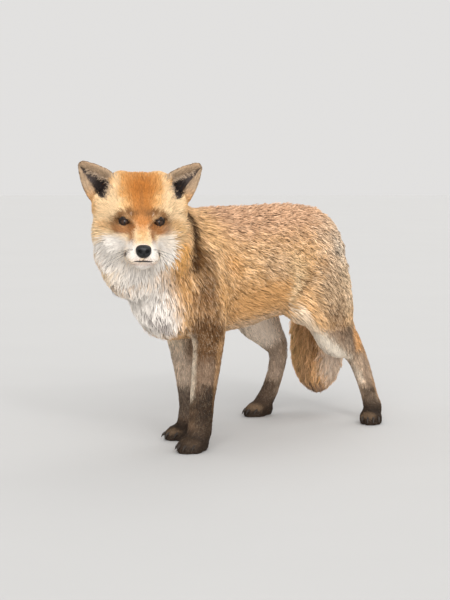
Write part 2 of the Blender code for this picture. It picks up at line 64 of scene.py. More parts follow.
def unit(vectors):
    """Each vector over its own length."""
    return vectors / np.maximum(np.linalg.norm(vectors, axis=-1, keepdims=True), 1e-9)


def ease(low, high, values):
    """3t^2 - 2t^3, where t runs from 0 at low to 1 at high."""
    share = np.clip((values - low) / (high - low), 0, 1)
    return share * share * (3 - 2 * share)


def mixed(low, high, share):
    """low where the share is 0, high where it is 1."""
    return np.asarray(low) * (1 - share) + np.asarray(high) * share


def spot(node, share):
    """The place at these shares of a node's box, from its lowest corner to its highest."""
    low, high = (np.array(corner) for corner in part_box(node))
    return low + np.array(share) * (high - low)


def centre(node):
    """The middle of a node's box."""
    return spot(node, (0.5, 0.5, 0.5))


EYE_MIDDLE = (centre("eye_left") + centre("eye_right")) / 2
LEFTWARD = unit(centre("eye_left") - centre("eye_right"))
NOSEWARD = centre("nose") - EYE_MIDDLE
NOSEWARD = unit(NOSEWARD - LEFTWARD * (NOSEWARD @ LEFTWARD))
ABOVE_NOSE = np.cross(NOSEWARD, LEFTWARD)
FORWARD = NOSEWARD * np.cos(NOSE_DROP) + ABOVE_NOSE * np.sin(NOSE_DROP)
UPWARD = ABOVE_NOSE * np.cos(NOSE_DROP) - NOSEWARD * np.sin(NOSE_DROP)
HEAD_TURN = np.stack([LEFTWARD, FORWARD, UPWARD], axis=1)


def on_head(places):
    """World places of (left, forward, up) in millimetres from the middle of the two eyes."""
    return EYE_MIDDLE + np.asarray(places, dtype=float) @ HEAD_TURN.T * MM


def to_head(places):
    """The inverse of on_head."""
    return (places - EYE_MIDDLE) @ HEAD_TURN / MM


def drift(places, size, seed):
    """Smooth noise of about -1 to 1: a sum of sine waves in seeded directions, about `size` metres long."""
    dice = np.random.default_rng(seed)
    ways = unit(dice.normal(size=(DRIFT_WAVES, 3))) * dice.uniform(0.7, 1.5, (DRIFT_WAVES, 1))
    angles = places @ (ways * 2 * np.pi / size).T + dice.uniform(0, 2 * np.pi, DRIFT_WAVES)
    return np.sin(angles).sum(1) / np.sqrt(DRIFT_WAVES / 2) / DRIFT_PEAK


def nearest(tree, places):
    """The index in a KD tree of the point that is nearest to each place."""
    return np.array([tree.find(place)[1] for place in places.tolist()], dtype=np.int64)


def tree_of(places):
    """A KD tree of the places."""
    tree = KDTree(len(places))
    for index, place in enumerate(places.tolist()):
        tree.insert(place, index)
    tree.balance()
    return tree


def read(collection, key, width, kind=np.float32):
    """One property of a Blender collection as an array of rows."""
    values = np.empty(len(collection) * width, dtype=kind)
    collection.foreach_get(key, values)
    return values.reshape(-1, width) if width > 1 else values


def put(name, places, faces, body="root"):
    """A new object from arrays of places and faces, shaded smooth. It rides on the body."""
    mesh = bpy.data.meshes.new(name)
    sizes = np.array([len(face) for face in faces], dtype=np.int32)
    fill(mesh, places, np.concatenate([np.asarray(face).ravel() for face in faces]), sizes)
    return show(name, mesh, body)


def fill(mesh, places, corners, sizes):
    """Vertices, loops and polygons go into the mesh as whole arrays."""
    mesh.vertices.add(len(places))
    mesh.vertices.foreach_set("co", np.asarray(places, dtype=np.float32).ravel())
    mesh.loops.add(len(corners))
    mesh.loops.foreach_set("vertex_index", corners.astype(np.int32))
    mesh.polygons.add(len(sizes))
    mesh.polygons.foreach_set("loop_start", (np.cumsum(sizes) - sizes).astype(np.int32))
    mesh.polygons.foreach_set("use_smooth", np.ones(len(sizes), dtype=bool))
    mesh.update(calc_edges=True)


def show(name, mesh, body="root"):
    """A new object in the scene; it rides on the body, if there is one."""
    piece = bpy.data.objects.new(name, mesh)
    bpy.context.scene.collection.objects.link(piece)
    if body:
        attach(piece, body)
    return piece


def paint(mesh, name, values):
    """A colour attribute on the points; rows of three get an alpha of one."""
    rows = np.ones((len(values), 4), dtype=np.float32)
    rows[:, :values.shape[1]] = values
    mesh.attributes.new(name, "FLOAT_COLOR", "POINT").data.foreach_set("color", rows.ravel())


def lattice(rows, columns, closed=False):
    """Quads of a grid of rows of points, each row a ring; `closed` joins the last row to the first."""
    row = np.arange(rows if closed else rows - 1)[:, None]
    column = np.arange(columns)[None, :]
    beside = (column + 1) % columns
    low, high = row * columns, (row + 1) % rows * columns
    corners = [low + column, low + beside, high + beside, high + column]
    return np.stack(np.broadcast_arrays(*corners), axis=-1).reshape(-1, 4)


# ------------------------------------------------------------------ the skin

OUTER_VOXEL = 0.0030
SKIN_VOXEL = 0.0024
ROOM_PEAK = 1.3  # how far the coat's room may stand over its own average
SWELL = 0.0008  # closes the cuts between the solids
HOLD = 0.53  # the counter step that keeps a smoothed form from shrinking


def evaluated(piece):
    """The mesh that a piece's modifiers leave."""
    return bpy.data.meshes.new_from_object(piece.evaluated_get(bpy.context.evaluated_depsgraph_get()))


def remeshed(mesh, voxel):
    """One closed surface around everything in the mesh, in quads of about the voxel's size."""
    piece = show("working_form", mesh, body=None)
    step = piece.modifiers.new("one_surface", "REMESH")
    step.mode = "VOXEL"
    step.voxel_size = voxel
    result = evaluated(piece)
    bpy.data.objects.remove(piece)
    return result


def neighbour_mean(values, edges, count):
    """The mean of each vertex's neighbours, for every column of values."""
    total = np.stack([
        np.bincount(edges[:, 0], values[edges[:, 1], column], count)
        + np.bincount(edges[:, 1], values[edges[:, 0], column], count)
        for column in range(values.shape[1])], axis=1)
    degree = np.bincount(edges.ravel(), minlength=count)
    return total / np.maximum(degree, 1)[:, None]


def smoothed(values, edges, rounds, hold=0.0):
    """Each round moves a value half way to its neighbours' mean, then back by `hold` of that."""
    for _ in range(rounds):
        values = values + 0.5 * (neighbour_mean(values, edges, len(values)) - values)
        if hold:
            values = values - hold * (neighbour_mean(values, edges, len(values)) - values)
    return values


def surface(mesh):
    """Places, normals, edges and triangles of a mesh."""
    mesh.calc_loop_triangles()
    return (read(mesh.vertices, "co", 3).astype(float), read(mesh.vertex_normals, "vector", 3).astype(float),
            read(mesh.edges, "vertices", 2, np.int32), read(mesh.loop_triangles, "vertices", 3, np.int32))


def reshaped(mesh, places):
    """The mesh's vertices go to these places."""
    mesh.vertices.foreach_set("co", places.astype(np.float32).ravel())
    mesh.update()


def flesh_form():
    """All the flesh as one closed surface: merged copies, swollen by a hair's breadth, then remeshed."""
    joined = bmesh.new()
    for node in FILLED:
        joined.from_mesh(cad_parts[node].data)
    bmesh.ops.remove_doubles(joined, verts=joined.verts[:], dist=1e-6)
    mesh = bpy.data.meshes.new("flesh")
    joined.to_mesh(mesh)
    joined.free()
    places, normals, _, _ = surface(mesh)
    reshaped(mesh, places + normals * SWELL)
    return remeshed(mesh, OUTER_VOXEL)


def nodes_at(places):
    """For each place, the index in FILLED of the solid whose surface is nearest."""
    every, corners, owners, first = [], [], [], 0
    for index, node in enumerate(FILLED):
        spots, _, _, triangles = surface(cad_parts[node].data)
        every.append(spots)
        corners.append(triangles + first)
        owners.append(np.full(len(triangles), index))
        first += len(spots)
    ball = BVHTree.FromPolygons(np.vstack(every).tolist(), np.vstack(corners).tolist())
    owner = np.concatenate(owners)
    return owner[[ball.find_nearest(place)[2] for place in places.tolist()]]


# ------------------------------------------------------------------ how the coat lies

# Each guide: a solid, a place in its box (shares from its lowest corner, so x runs from right to left, y from
# front to back and z upwards), the way the hair lies there, the hair's length, the coat's depth, a lock's
# width, and how far it waves, the last four in millimetres. BOTH_GUIDES count on the right side as well.
TRUNK_GUIDES = (
    ("trunk_chest", (0.50, 0.25, 1.00), (0.0, 1.0, -0.15), 24, 7, 1.9, 0.8),
    ("trunk_chest", (0.50, 0.80, 1.00), (0.0, 1.0, -0.05), 22, 7, 1.9, 1.4),
    ("trunk_loin", (0.50, 0.30, 1.00), (0.0, 1.0, -0.05), 22, 7, 1.8, 2.3),
    ("trunk_loin", (0.50, 0.75, 0.90), (0.0, 0.9, -0.40), 23, 8, 1.8, 2.5),
    ("trunk_loin", (0.50, 1.00, 0.60), (0.0, 0.5, -0.85), 24, 8, 1.8, 2.3),
    ("trunk_chest", (0.50, 0.60, 0.00), (0.0, 1.0, -0.15), 22, 7, 1.8, 0.8),
    ("trunk_loin", (0.50, 0.20, 0.00), (0.0, 1.0, -0.15), 20, 6, 1.8, 0.8),
    ("trunk_chest", (0.50, 0.02, 0.35), (0.0, -0.1, -1.0), 28, 9, 1.9, 2.0),
    ("trunk_chest", (0.50, 0.15, 0.05), (0.0, 0.2, -1.0), 26, 8, 1.9, 2.4),
)
BOTH_GUIDES = (
    ("trunk_chest", (0.97, 0.35, 0.85), (0.0, 0.8, -0.60), 26, 8, 1.9, 1.0),
    ("trunk_chest", (1.00, 0.80, 0.75), (0.0, 0.9, -0.45), 24, 8, 1.9, 1.5),
    ("trunk_chest", (1.00, 0.75, 0.45), (0.0, 0.92, -0.35), 26, 8, 1.9, 1.2),
    ("trunk_chest", (0.97, 0.75, 0.20), (0.0, 0.98, -0.15), 30, 8, 1.9, 0.5),
    ("trunk_loin", (0.97, 0.25, 0.75), (0.0, 0.85, -0.50), 22, 7, 1.8, 2.4),
    ("trunk_loin", (1.00, 0.25, 0.40), (0.0, 0.9, -0.40), 24, 7, 1.9, 1.2),
    ("trunk_loin", (0.95, 0.15, 0.12), (0.0, 0.97, -0.20), 28, 7, 1.9, 0.5),
    ("trunk_loin", (0.90, 0.80, 0.80), (0.0, 0.7, -0.70), 23, 8, 1.8, 2.5),
    ("neck", (0.80, 0.70, 0.90), (0.0, 0.9, -0.45), 24, 8, 1.8, 0.8),
    ("neck", (0.95, 0.60, 0.55), (0.0, 0.65, -0.75), 27, 9, 1.8, 0.8),
    ("neck", (0.90, 0.35, 0.20), (0.0, 0.35, -0.93), 28, 9, 1.8, 1.2),
)
NECK_GUIDES = (
    ("neck", (0.50, 0.70, 1.00), (0.0, 1.0, -0.20), 22, 7, 1.8, 0.6),
    ("neck", (0.50, 0.10, 0.30), (0.0, -0.1, -1.0), 30, 9, 1.8, 2.0),
    ("neck", (0.15, 0.20, 0.30), (-0.2, 0.1, -1.0), 28, 9, 1.8, 1.5),
)
TAIL_GUIDES = (
    ("tail_root", (0.50, 0.50, 0.80), (0.0, 0.8, -0.65), 28, 8, 2.0, 0.8),
    ("tail_root", (0.45, 0.60, 0.30), (-0.3, 0.5, -0.80), 26, 8, 1.6, 0.8),
    ("tail_middle", (0.60, 0.50, 0.75), (-0.4, 0.4, -0.85), 26, 9, 1.5, 2.2),
    ("tail_middle", (0.40, 0.50, 0.25), (-0.3, 0.2, -0.95), 27, 10, 1.5, 2.4),
    ("tail_end", (0.50, 0.45, 0.70), (-0.1, 0.0, -1.0), 27, 10, 1.5, 2.4),
    ("tail_end", (0.50, 0.40, 0.15), (0.0, -0.1, -1.0), 24, 9, 1.5, 2.0),
)
LEG_GUIDES = {
    "front": (
        ("upper_leg", (0.50, 0.45, 0.85), (0.0, 0.45, -0.90), 22, 7, 1.8, 0.8),
        ("upper_leg", (0.50, 0.50, 0.45), (0.0, 0.30, -0.95), 18, 5, 1.6, 0.8),
        ("upper_leg", (0.50, 0.50, 0.05), (0.0, 0.12, -1.0), 11, 3, 1.4, 0.4),
        ("lower_leg", (0.50, 0.50, 0.60), (0.0, -0.05, -1.0), 8, 2, 1.2, 0.2),
        ("lower_leg", (0.50, 0.45, 0.15), (0.0, -0.05, -1.0), 7, 1.8, 1.1, 0.1),
        ("paw", (0.50, 0.60, 0.80), (0.0, -0.5, -0.85), 5, 1.4, 0.9, 0.0),
        ("paw", (0.50, 0.15, 0.40), (0.0, -0.8, -0.60), 4.5, 1.2, 0.8, 0.0),
    ),
    "hind": (
        ("upper_leg", (0.60, 0.45, 0.85), (0.0, 0.55, -0.80), 22, 7, 1.8, 2.3),
        ("upper_leg", (0.60, 0.50, 0.45), (0.0, 0.40, -0.90), 19, 6, 1.8, 1.2),
        ("upper_leg", (0.60, 0.70, 0.10), (0.0, 0.35, -0.90), 15, 4, 1.6, 0.8),
        ("lower_leg", (0.55, 0.40, 0.85), (0.0, 0.55, -0.85), 12, 3, 1.4, 0.4),
        ("lower_leg", (0.50, 0.70, 0.50), (0.0, 0.40, -0.90), 9, 2.2, 1.2, 0.2),
        ("lower_leg", (0.50, 0.80, 0.15), (0.0, -0.10, -1.0), 7.5, 1.8, 1.1, 0.1),
        ("paw", (0.50, 0.65, 0.80), (0.0, -0.5, -0.85), 5, 1.4, 0.9, 0.0),
        ("paw", (0.50, 0.15, 0.40), (0.0, -0.8, -0.60), 4.5, 1.2, 0.8, 0.0),
    ),
}
# The head's guides: (left, forward, up) in millimetres from between the eyes, then the same four sizes. The
# way the hair lies comes from the nose, which it leaves on every side.
HEAD_GUIDES = (
    ((0, 62, -25), 3.0, 0.9, 0.8, 0.0),
    ((0, 30, -14), 4.0, 1.3, 0.9, 0.0),
    ((0, 60, -52), 5.0, 1.4, 0.9, 0.0),
    ((16, 52, -36), 4.0, 1.2, 0.8, 0.0),
    ((27, 28, -34), 5.5, 1.8, 0.9, 0.0),
    ((17, 8, 6), 4.0, 1.2, 0.8, 0.0),
    ((40, 4, 2), 5.5, 1.8, 0.9, 0.0),
    ((0, 6, 22), 6.0, 1.8, 0.9, 0.0),
    ((0, -14, 46), 9.0, 2.6, 1.0, 0.1),
    ((30, -14, 38), 9.0, 2.6, 1.0, 0.1),
    ((0, -50, 50), 14, 4.5, 1.3, 0.3),
    ((46, -14, 14), 11, 3.5, 1.1, 0.1),
    ((56, -20, -6), 15, 5.0, 1.3, 0.2),
    ((46, 2, -30), 13, 4.0, 1.2, 0.2),
    ((62, -22, -38), 21, 7.0, 1.5, 0.4),
    ((44, -2, -62), 20, 7.0, 1.5, 0.8),
    ((0, 30, -62), 10, 3.0, 1.1, 0.2),
    ((0, 12, -84), 22, 7.0, 1.5, 1.0),
    ((60, -60, -20), 22, 8.0, 1.6, 0.4),
    ((0, -85, 20), 20, 7.0, 1.6, 0.4),
)
EAR_SIZES = (8.0, 1.4, 1.0, 0.2)
GUIDE_REACH = 0.010  # metres: nearer than this, a guide's weight hardly grows
NOSE_PARTING = on_head((0, 84, -30))  # the point that the face's hair leaves on every side
SAG_BEHIND = 0.5  # how far the face's hair turns down behind the eyes
SAG_BELOW = 0.7  # and below them


def guide_table():
    """All guides as arrays: places, ways, sizes."""
    rows = []
    for node, share, way, *sizes in TRUNK_GUIDES + NECK_GUIDES + TAIL_GUIDES:
        rows.append((spot(node, share), way, sizes))
    for node, share, way, *sizes in BOTH_GUIDES:
        rows.append((spot(node, share), way, sizes))
        rows.append((spot(node, (1 - share[0], *share[1:])), way, sizes))
    for leg in LEGS:
        for part, share, way, *sizes in LEG_GUIDES[leg.split("_")[0]]:
            rows.append((spot(f"{part}_{leg}", share), way, sizes))
    for (left, forward, up), *sizes in HEAD_GUIDES:
        for side in (SIDES.values() if left else (1,)):
            rows.append((on_head((side * left, forward, up)), (0, 0, 0), sizes))
    for side in SIDES:
        for share in ((0.5, 0.5, 0.25), (0.5, 0.5, 0.8)):
            rows.append((spot(f"ear_{side}", share), (0, 0, 0), EAR_SIZES))
    return tuple(np.array(column, dtype=float) for column in zip(*rows))


def guided(places, owner):
    """The lie and sizes at each place: guides weighted by 1 / (distance^2 + reach^2)^2.

    On the face the hair leaves the nose and sags; on an ear it leaves the base, on a paw the ankle.
    """
    spots, ways, sizes = guide_table()
    gap = ((places[:, None, :] - spots[None, :, :]) ** 2).sum(2)
    weight = 1 / (gap + GUIDE_REACH ** 2) ** 2
    mine = weight / weight.sum(1, keepdims=True)
    measure = mine @ sizes
    pointed = weight * (np.abs(ways).sum(1) > 0)
    lie = unit((pointed @ ways) / pointed.sum(1, keepdims=True))
    radial = unit(places - NOSE_PARTING)
    head = to_head(places)
    radial[:, 2] -= ease(-12, -70, head[:, 1]) * SAG_BEHIND + ease(-15, -60, head[:, 2]) * SAG_BELOW
    names = np.array(FILLED)[owner]
    on_face = np.isin(names, FACE).astype(float)
    lie = mixed(lie, unit(radial), on_face[:, None])
    for side, sign in SIDES.items():
        here = names == f"ear_{side}"
        lie[here] = unit(places[here] - on_head((EAR_BASE[0] * sign, *EAR_BASE[1:])))
        measure[here] = EAR_SIZES
    for leg in LEGS:
        here = names == f"paw_{leg}"
        ankle = spot(f"paw_{leg}", (0.5, 0.75, 1.3))
        lie[here] = unit(places[here] - ankle)
    return lie, measure


def laid(lie, normals):
    """The part of each direction that runs along the surface."""
    return unit(lie - normals * (lie * normals).sum(1, keepdims=True))


# ------------------------------------------------------------------ the eyes' openings

EYE_RADIUS = 10.5  # millimetres, as all the sizes of the face
OPENING_LENGTH = 8.7  # half of the opening's length
OPENING_RISE = 4.0
OPENING_FALL = 3.5
OPENING_TILT = np.radians(8)
GAZE_OUT = np.radians(4)
SOCKET_REACH = 24
SOCKET_DEPTH = 13


class Eye:
    """An eye's own axes: `out` to its outer corner, `gaze` out of the head and `up`, in millimetres."""

    def __init__(self, side):
        self.side = side
        sign = SIDES[side]
        self.middle = centre(f"eye_{side}")
        self.gaze = unit(FORWARD * np.cos(GAZE_OUT) + LEFTWARD * sign * np.sin(GAZE_OUT))
        level = unit(LEFTWARD * sign - self.gaze * (LEFTWARD @ self.gaze) * sign)
        self.out = level * np.cos(OPENING_TILT) + UPWARD * np.sin(OPENING_TILT)
        self.up = UPWARD * np.cos(OPENING_TILT) - level * np.sin(OPENING_TILT)

    def seen(self, places):
        """(out, gaze, up) of world places."""
        return (places - self.middle) @ np.stack([self.out, self.gaze, self.up], axis=1) / MM

    def at(self, out, gaze, up):
        """World places of (out, gaze, up)."""
        shift = out[..., None] * self.out + gaze[..., None] * self.gaze + up[..., None] * self.up
        return self.middle + shift * MM

    def edge_gap(self, places):
        """How far outside the almond opening a place lies, in millimetres; below zero inside it."""
        out, _, up = self.seen(places).T
        tall = np.where(up > 0, OPENING_RISE, OPENING_FALL)
        ring = np.sqrt((out / OPENING_LENGTH) ** 2 + (up / tall) ** 2)
        return (ring - 1) * np.hypot(out, up) / np.maximum(ring, 1e-6)


EYES = {side: Eye(side) for side in SIDES}


def sunk_sockets(places):
    """Skin inside an eye's opening goes back along the gaze, behind the ball."""
    for eye in EYES.values():
        local = eye.seen(places)
        near = (np.abs(local).max(1) < SOCKET_REACH) & (local[:, 1] > -2)
        sink = ease(1.6, -0.4, eye.edge_gap(places)) * near
        places = places - eye.gaze * (sink * SOCKET_DEPTH * MM)[:, None]
    return places


# ------------------------------------------------------------------ the ears' hollows and the nose's seat

# An ear's hollow, seen from the front: a place on each of its edges and the way from there into the hollow,
# both as (left, up) millimetres on the left ear.
HOLLOW_EDGES = (((51, 55), (0.43, -0.90)), ((68, 27), (-0.83, 0.56)), ((48.5, 50), (0.96, 0.28)))
HOLLOW_DEPTH = 9.0
HOLLOW_WALL = 2.0
HOLLOW_ROOM = 0.6 * MM  # the coat's depth in a hollow
HOLLOW_HEART = (65, 66, 42)  # where a hollow's painted shade is darkest: how far to its side, backwards and up
EAR_BASE = (58.0, -62.0, 20.0)
NOSE_MIDDLE = (0.0, 67.6, -34.0)
NOSE_SIZE = (12.2, 9.0, 10.6)  # half width, half depth and half height in millimetres
NOSE_SEAT = 8.0


def hollow_gap(head):
    """How far inside an ear's hollow a place lies in millimetres, seen from the front; below zero outside."""
    flat = np.stack([np.abs(head[:, 0]), head[:, 2]], axis=1)
    return np.min([(flat - place) @ np.array(way) for place, way in HOLLOW_EDGES], axis=0)


def hollow_share(places, normals):
    """1 in an ear's hollow, 0 outside it and behind the ear."""
    head = to_head(places)
    ahead = ease(-74, -71, head[:, 1]) * ease(-0.6, -0.2, normals @ FORWARD) * ease(26, 30, head[:, 2])
    ragged = drift(places, 0.005, 9) * 1.2
    return ease(-0.8, 3.0, hollow_gap(head) + ragged) * ahead


def carved_ears(places, normals, triangles):
    """The hollows' skin goes back along the head's axis, as far as leaves a thin wall."""
    share = hollow_share(places, normals)
    body = BVHTree.FromPolygons(places.tolist(), triangles.tolist())
    back = (-FORWARD).tolist()
    result = places.copy()
    for index in np.flatnonzero(share > 0.01):
        start = places[index] - FORWARD * 0.5 * MM
        hit = body.ray_cast(start.tolist(), back, 0.05)
        wall = hit[3] / MM if hit[0] is not None else 0.0
        result[index] -= FORWARD * share[index] * min(HOLLOW_DEPTH, max(wall - HOLLOW_WALL, 0)) * MM
    return result


def nose_ring(head):
    """A place's distance from the nose's axis as a share of the nose's outline."""
    return np.hypot(head[:, 0] / NOSE_SIZE[0], (head[:, 2] - NOSE_MIDDLE[2]) / NOSE_SIZE[2])


def seated_nose(places):
    """The skin under the nose goes back, so that the nose's leather sits in it."""
    head = to_head(places)
    share = ease(1.12, 0.86, nose_ring(head)) * ease(52, 58, head[:, 1])
    return places - FORWARD * (share * NOSE_SEAT * MM)[:, None]


# ------------------------------------------------------------------ the markings

RUST = (0.42, 0.145, 0.026)
BRIGHT = (0.63, 0.33, 0.125)
ORANGE = (0.62, 0.29, 0.080)
BROWN = (0.20, 0.090, 0.032)
# BLACK is the painted shade at the depth of an ear's hollow
DARK = (0.055, 0.024, 0.008)
BLACK = (0.018, 0.013, 0.012)
GOLD = (0.68, 0.36, 0.125)
BUFF = (0.78, 0.53, 0.28)
PALE_BUFF = (0.84, 0.60, 0.35)
PALE_ORANGE = (0.82, 0.50, 0.22)
PINK_BUFF = (0.60, 0.345, 0.205)
GREY_BUFF = (0.62, 0.48, 0.355)
GREY_PINK = (0.50, 0.40, 0.31)
SANDY = (0.73, 0.43, 0.20)
EAR_RIM = (0.46, 0.325, 0.21)
CREAM = (0.86, 0.73, 0.57)
WHITE = (0.91, 0.84, 0.76)
ASH = (0.42, 0.36, 0.33)
LEG_BROWN = (0.22, 0.135, 0.080)
LEG_TAN = (0.46, 0.33, 0.23)
CHARCOAL = (0.034, 0.022, 0.015)
# partly the toes' own tan, partly painted highlight on their tops
TOE_TAN_AND_HIGHLIGHT = (0.34, 0.22, 0.13)
TAIL_BUFF = (0.84, 0.45, 0.18)
DEEP_BROWN = (0.12, 0.050, 0.014)
# painted shade of an ear's hollow towards its tip
HOLLOW_SHADE_GREY = (0.085, 0.068, 0.062)
LID_BLACK = (0.016, 0.009, 0.006)
FRINGE_TINT = np.array((0.50, 0.37, 0.26))

# Each solid's colour and how strongly its hairs are banded, by the start of its name, before any marking.
GROUND = {
    "head": PALE_BUFF, "eye": BROWN, "nose": WHITE, "ear": BROWN, "neck": SANDY, "trunk": SANDY,
    "tail": TAIL_BUFF, "upper_leg": SANDY, "lower_leg": LEG_BROWN, "lower_leg_hind": LEG_TAN,
    "paw": CHARCOAL,
}
GROUND_GRIZZLE = {
    "head": 0.08, "eye": 0.0, "nose": 0.0, "ear": 0.1, "neck": 0.6, "trunk": 0.6, "tail": 0.35,
    "upper_leg": 0.7, "lower_leg": 0.65, "paw": 0.4,
}
MIDLINE = 11.3  # millimetres: the trunk's middle plane, across which BOTH_MARKS are mirrored
EDGE_WOBBLE = 0.10  # how far a marking's edge drifts, in half sizes
EDGE_FADE = (1.55, 0.45)  # where a marking begins and where it is full, in half sizes

# Each marking: a rounded stroke from one place to another, its half sizes, its colour and its strength.
# Places and sizes are (x, y, z) in millimetres; one place alone makes an oval. Later rows lie over earlier.
BOTH_MARKS = (
    ((50, -60, 405), (50, 160, 410), (62, 50, 62), PINK_BUFF, 0.9),
    ((70, 200, 330), (70, 200, 300), (50, 60, 50), GREY_BUFF, 0.85),
    ((86, -76, 238), (90, 50, 254), (34, 34, 36), BRIGHT, 0.9),
    ((50, -70, 180), (50, 60, 190), (60, 40, 16), GREY_PINK, 0.7),
    ((40, -10, 184), (40, 90, 190), (46, 40, 18), CREAM, 0.6),
    ((62, -56, 203), (62, 44, 216), (30, 30, 8), (0.74, 0.54, 0.38), 0.55),
    ((90, 0, 308), (90, 30, 304), (30, 28, 24), (0.56, 0.37, 0.22), 0.55),
    ((90, 72, 296), (90, 62, 300), (24, 22, 24), BUFF, 0.6),
    ((62, -135, 378), (84, -128, 346), (16, 14, 15), (0.80, 0.48, 0.22), 0.75),
    ((56, -124, 404), (80, -120, 376), (20, 20, 13), (0.64, 0.35, 0.14), 0.6),
    ((90, -103, 318), (92, -95, 305), (22, 17, 16), ORANGE, 0.65),
    ((60, 246, 330), (74, 238, 250), (60, 18, 34), CREAM, 0.8),
    ((98, 196, 336), (110, 202, 236), (18, 22, 22), (0.92, 0.80, 0.65), 0.95),
    # pale buff where the thigh meets the belly: partly its own colour, partly painted light in this shaded
    # crease
    ((88, 76, 274), (82, 70, 246), (18, 15, 16), (0.88, 0.64, 0.38), 0.9),
    ((92, 108, 284), (84, 88, 250), (20, 8, 8), DARK, 0.6),
    ((100, 140, 300), (100, 134, 276), (20, 14, 16), BROWN, 0.4),
    ((92, -224, 335), (80, -200, 262), (24, 18, 20), BRIGHT, 0.9),
)
# Markings of the trunk, the legs and the tail that lie only where they say.
OWN_MARKS = (
    ((74, -186, 400), (85, -185, 318), (20, 15, 12), DARK, 1.0),
    ((88, -172, 330), (90, -162, 276), (30, 20, 24), DEEP_BROWN, 0.75),
    # bright orange on the side of the neck: partly its own orange, partly painted light where the ruff shades
    # it
    ((94, -228, 338), (84, -210, 274), (18, 17, 16), (0.92, 0.48, 0.155), 0.95),
    ((88, -166, 262), (88, -166, 226), (30, 24, 20), BROWN, 0.7),
    ((94, -126, 266), (94, -118, 252), (20, 20, 22), (0.66, 0.33, 0.10), 0.65),
    ((10, -262, 300), (20, -232, 230), (58, 34, 44), WHITE, 1.0),
    ((-50, -236, 320), (-44, -214, 230), (30, 44, 50), WHITE, 0.95),
    ((16, -216, 200), (30, -212, 210), (46, 22, 22), WHITE, 0.9),
    ((38, -214, 206), (30, -222, 222), (14, 14, 10), ASH, 0.8),
)
LEG_MARKS = (
    ((80, -160, 206), (84, -156, 172), (36, 30, 22), (0.125, 0.058, 0.022), 0.95),
    ((92, -150, 206), (95, -142, 172), (18, 14, 18), DEEP_BROWN, 0.55),
    ((84, -152, 134), (80, -155, 112), (30, 30, 24), (0.25, 0.165, 0.11), 0.8),
    ((84, -158, 84), (84, -158, 62), (30, 32, 26), CHARCOAL, 0.96),
    ((84, -158, 44), (84, -158, 38), (30, 32, 12), (0.050, 0.032, 0.021), 0.8),
    ((57, -174, 184), (57, -173, 100), (11, 12, 16), CREAM, 0.9),
    ((97, -140, 174), (99, -148, 60), (12, 8, 16), (0.55, 0.30, 0.125), 0.7),
    # the far foreleg's buff, raised well above its own colour: partly its own colour, partly painted light
    # where it lies in shade
    ((-36, -108, 190), (-36, -112, 160), (30, 20, 20), (0.88, 0.72, 0.54), 0.95),
    ((-38, -100, 138), (-38, -100, 100), (30, 24, 26), (0.64, 0.50, 0.38), 0.85),
    ((-38, -92, 78), (-38, -90, 52), (34, 30, 18), (0.105, 0.078, 0.060), 0.9),
    ((-16, -94, 190), (-16, -94, 160), (8, 20, 20), BROWN, 0.6),
    ((98, 150, 262), (96, 160, 222), (28, 36, 30), (0.42, 0.295, 0.185), 0.8),
    ((100, 200, 290), (106, 214, 216), (20, 26, 30), (0.66, 0.44, 0.24), 0.7),
    ((96, 150, 214), (90, 196, 172), (20, 16, 14), BROWN, 0.4),
    ((80, 84, 226), (72, 140, 168), (18, 8, 10), (0.80, 0.64, 0.47), 0.9),
    # the cream stripe down the near hind leg, raised near white: partly its own cream, partly painted light
    # where the leg lies in shade
    ((72, 140, 168), (64, 236, 114), (24, 11, 10.5), (1.0, 0.88, 0.72), 1.0),
    ((60, 234, 116), (68, 262, 80), (22, 12.5, 16), (1.0, 0.84, 0.66), 1.0),
    ((90, 212, 178), (87, 257, 131), (14, 8, 10), DARK, 0.5),
    ((88, 276, 106), (90, 283, 66), (12, 4.5, 14), DARK, 0.45),
    ((94, 292, 120), (104, 300, 50), (14, 9, 18), ORANGE, 0.8),
    ((84, 246, 168), (80, 260, 146), (18, 12, 14), (0.90, 0.45, 0.17), 0.9),
    ((90, 262, 172), (84, 286, 140), (16, 14, 22), ORANGE, 0.65),
    ((96, 272, 56), (100, 268, 36), (24, 20, 12), CHARCOAL, 0.8),
    # the far thigh's pale mauve-grey, raised near white: partly its own colour, partly painted light where the
    # body shades it
    ((-60, 140, 200), (-72, 180, 150), (60, 54, 30), (1.0, 0.83, 0.67), 1.0),
    ((-90, 222, 130), (-100, 218, 84), (34, 30, 20), (0.46, 0.34, 0.25), 1.0),
    ((-108, 208, 56), (-112, 198, 30), (30, 28, 14), (0.075, 0.048, 0.032), 0.9),
    ((-64, 236, 140), (-70, 244, 120), (14, 12, 16), BROWN, 0.5),
    # the toes' tops: partly their own tan, partly painted highlight
    ((84, -202, 24), (84, -198, 18), (24, 12, 6), TOE_TAN_AND_HIGHLIGHT, 0.10),
    ((-28, -134, 24), (-28, -130, 18), (24, 12, 6), TOE_TAN_AND_HIGHLIGHT, 0.4),
    ((112, 236, 24), (116, 240, 18), (24, 12, 7), TOE_TAN_AND_HIGHLIGHT, 0.35),
    ((-104, 172, 24), (-104, 176, 18), (24, 12, 6), TOE_TAN_AND_HIGHLIGHT, 0.5),
)
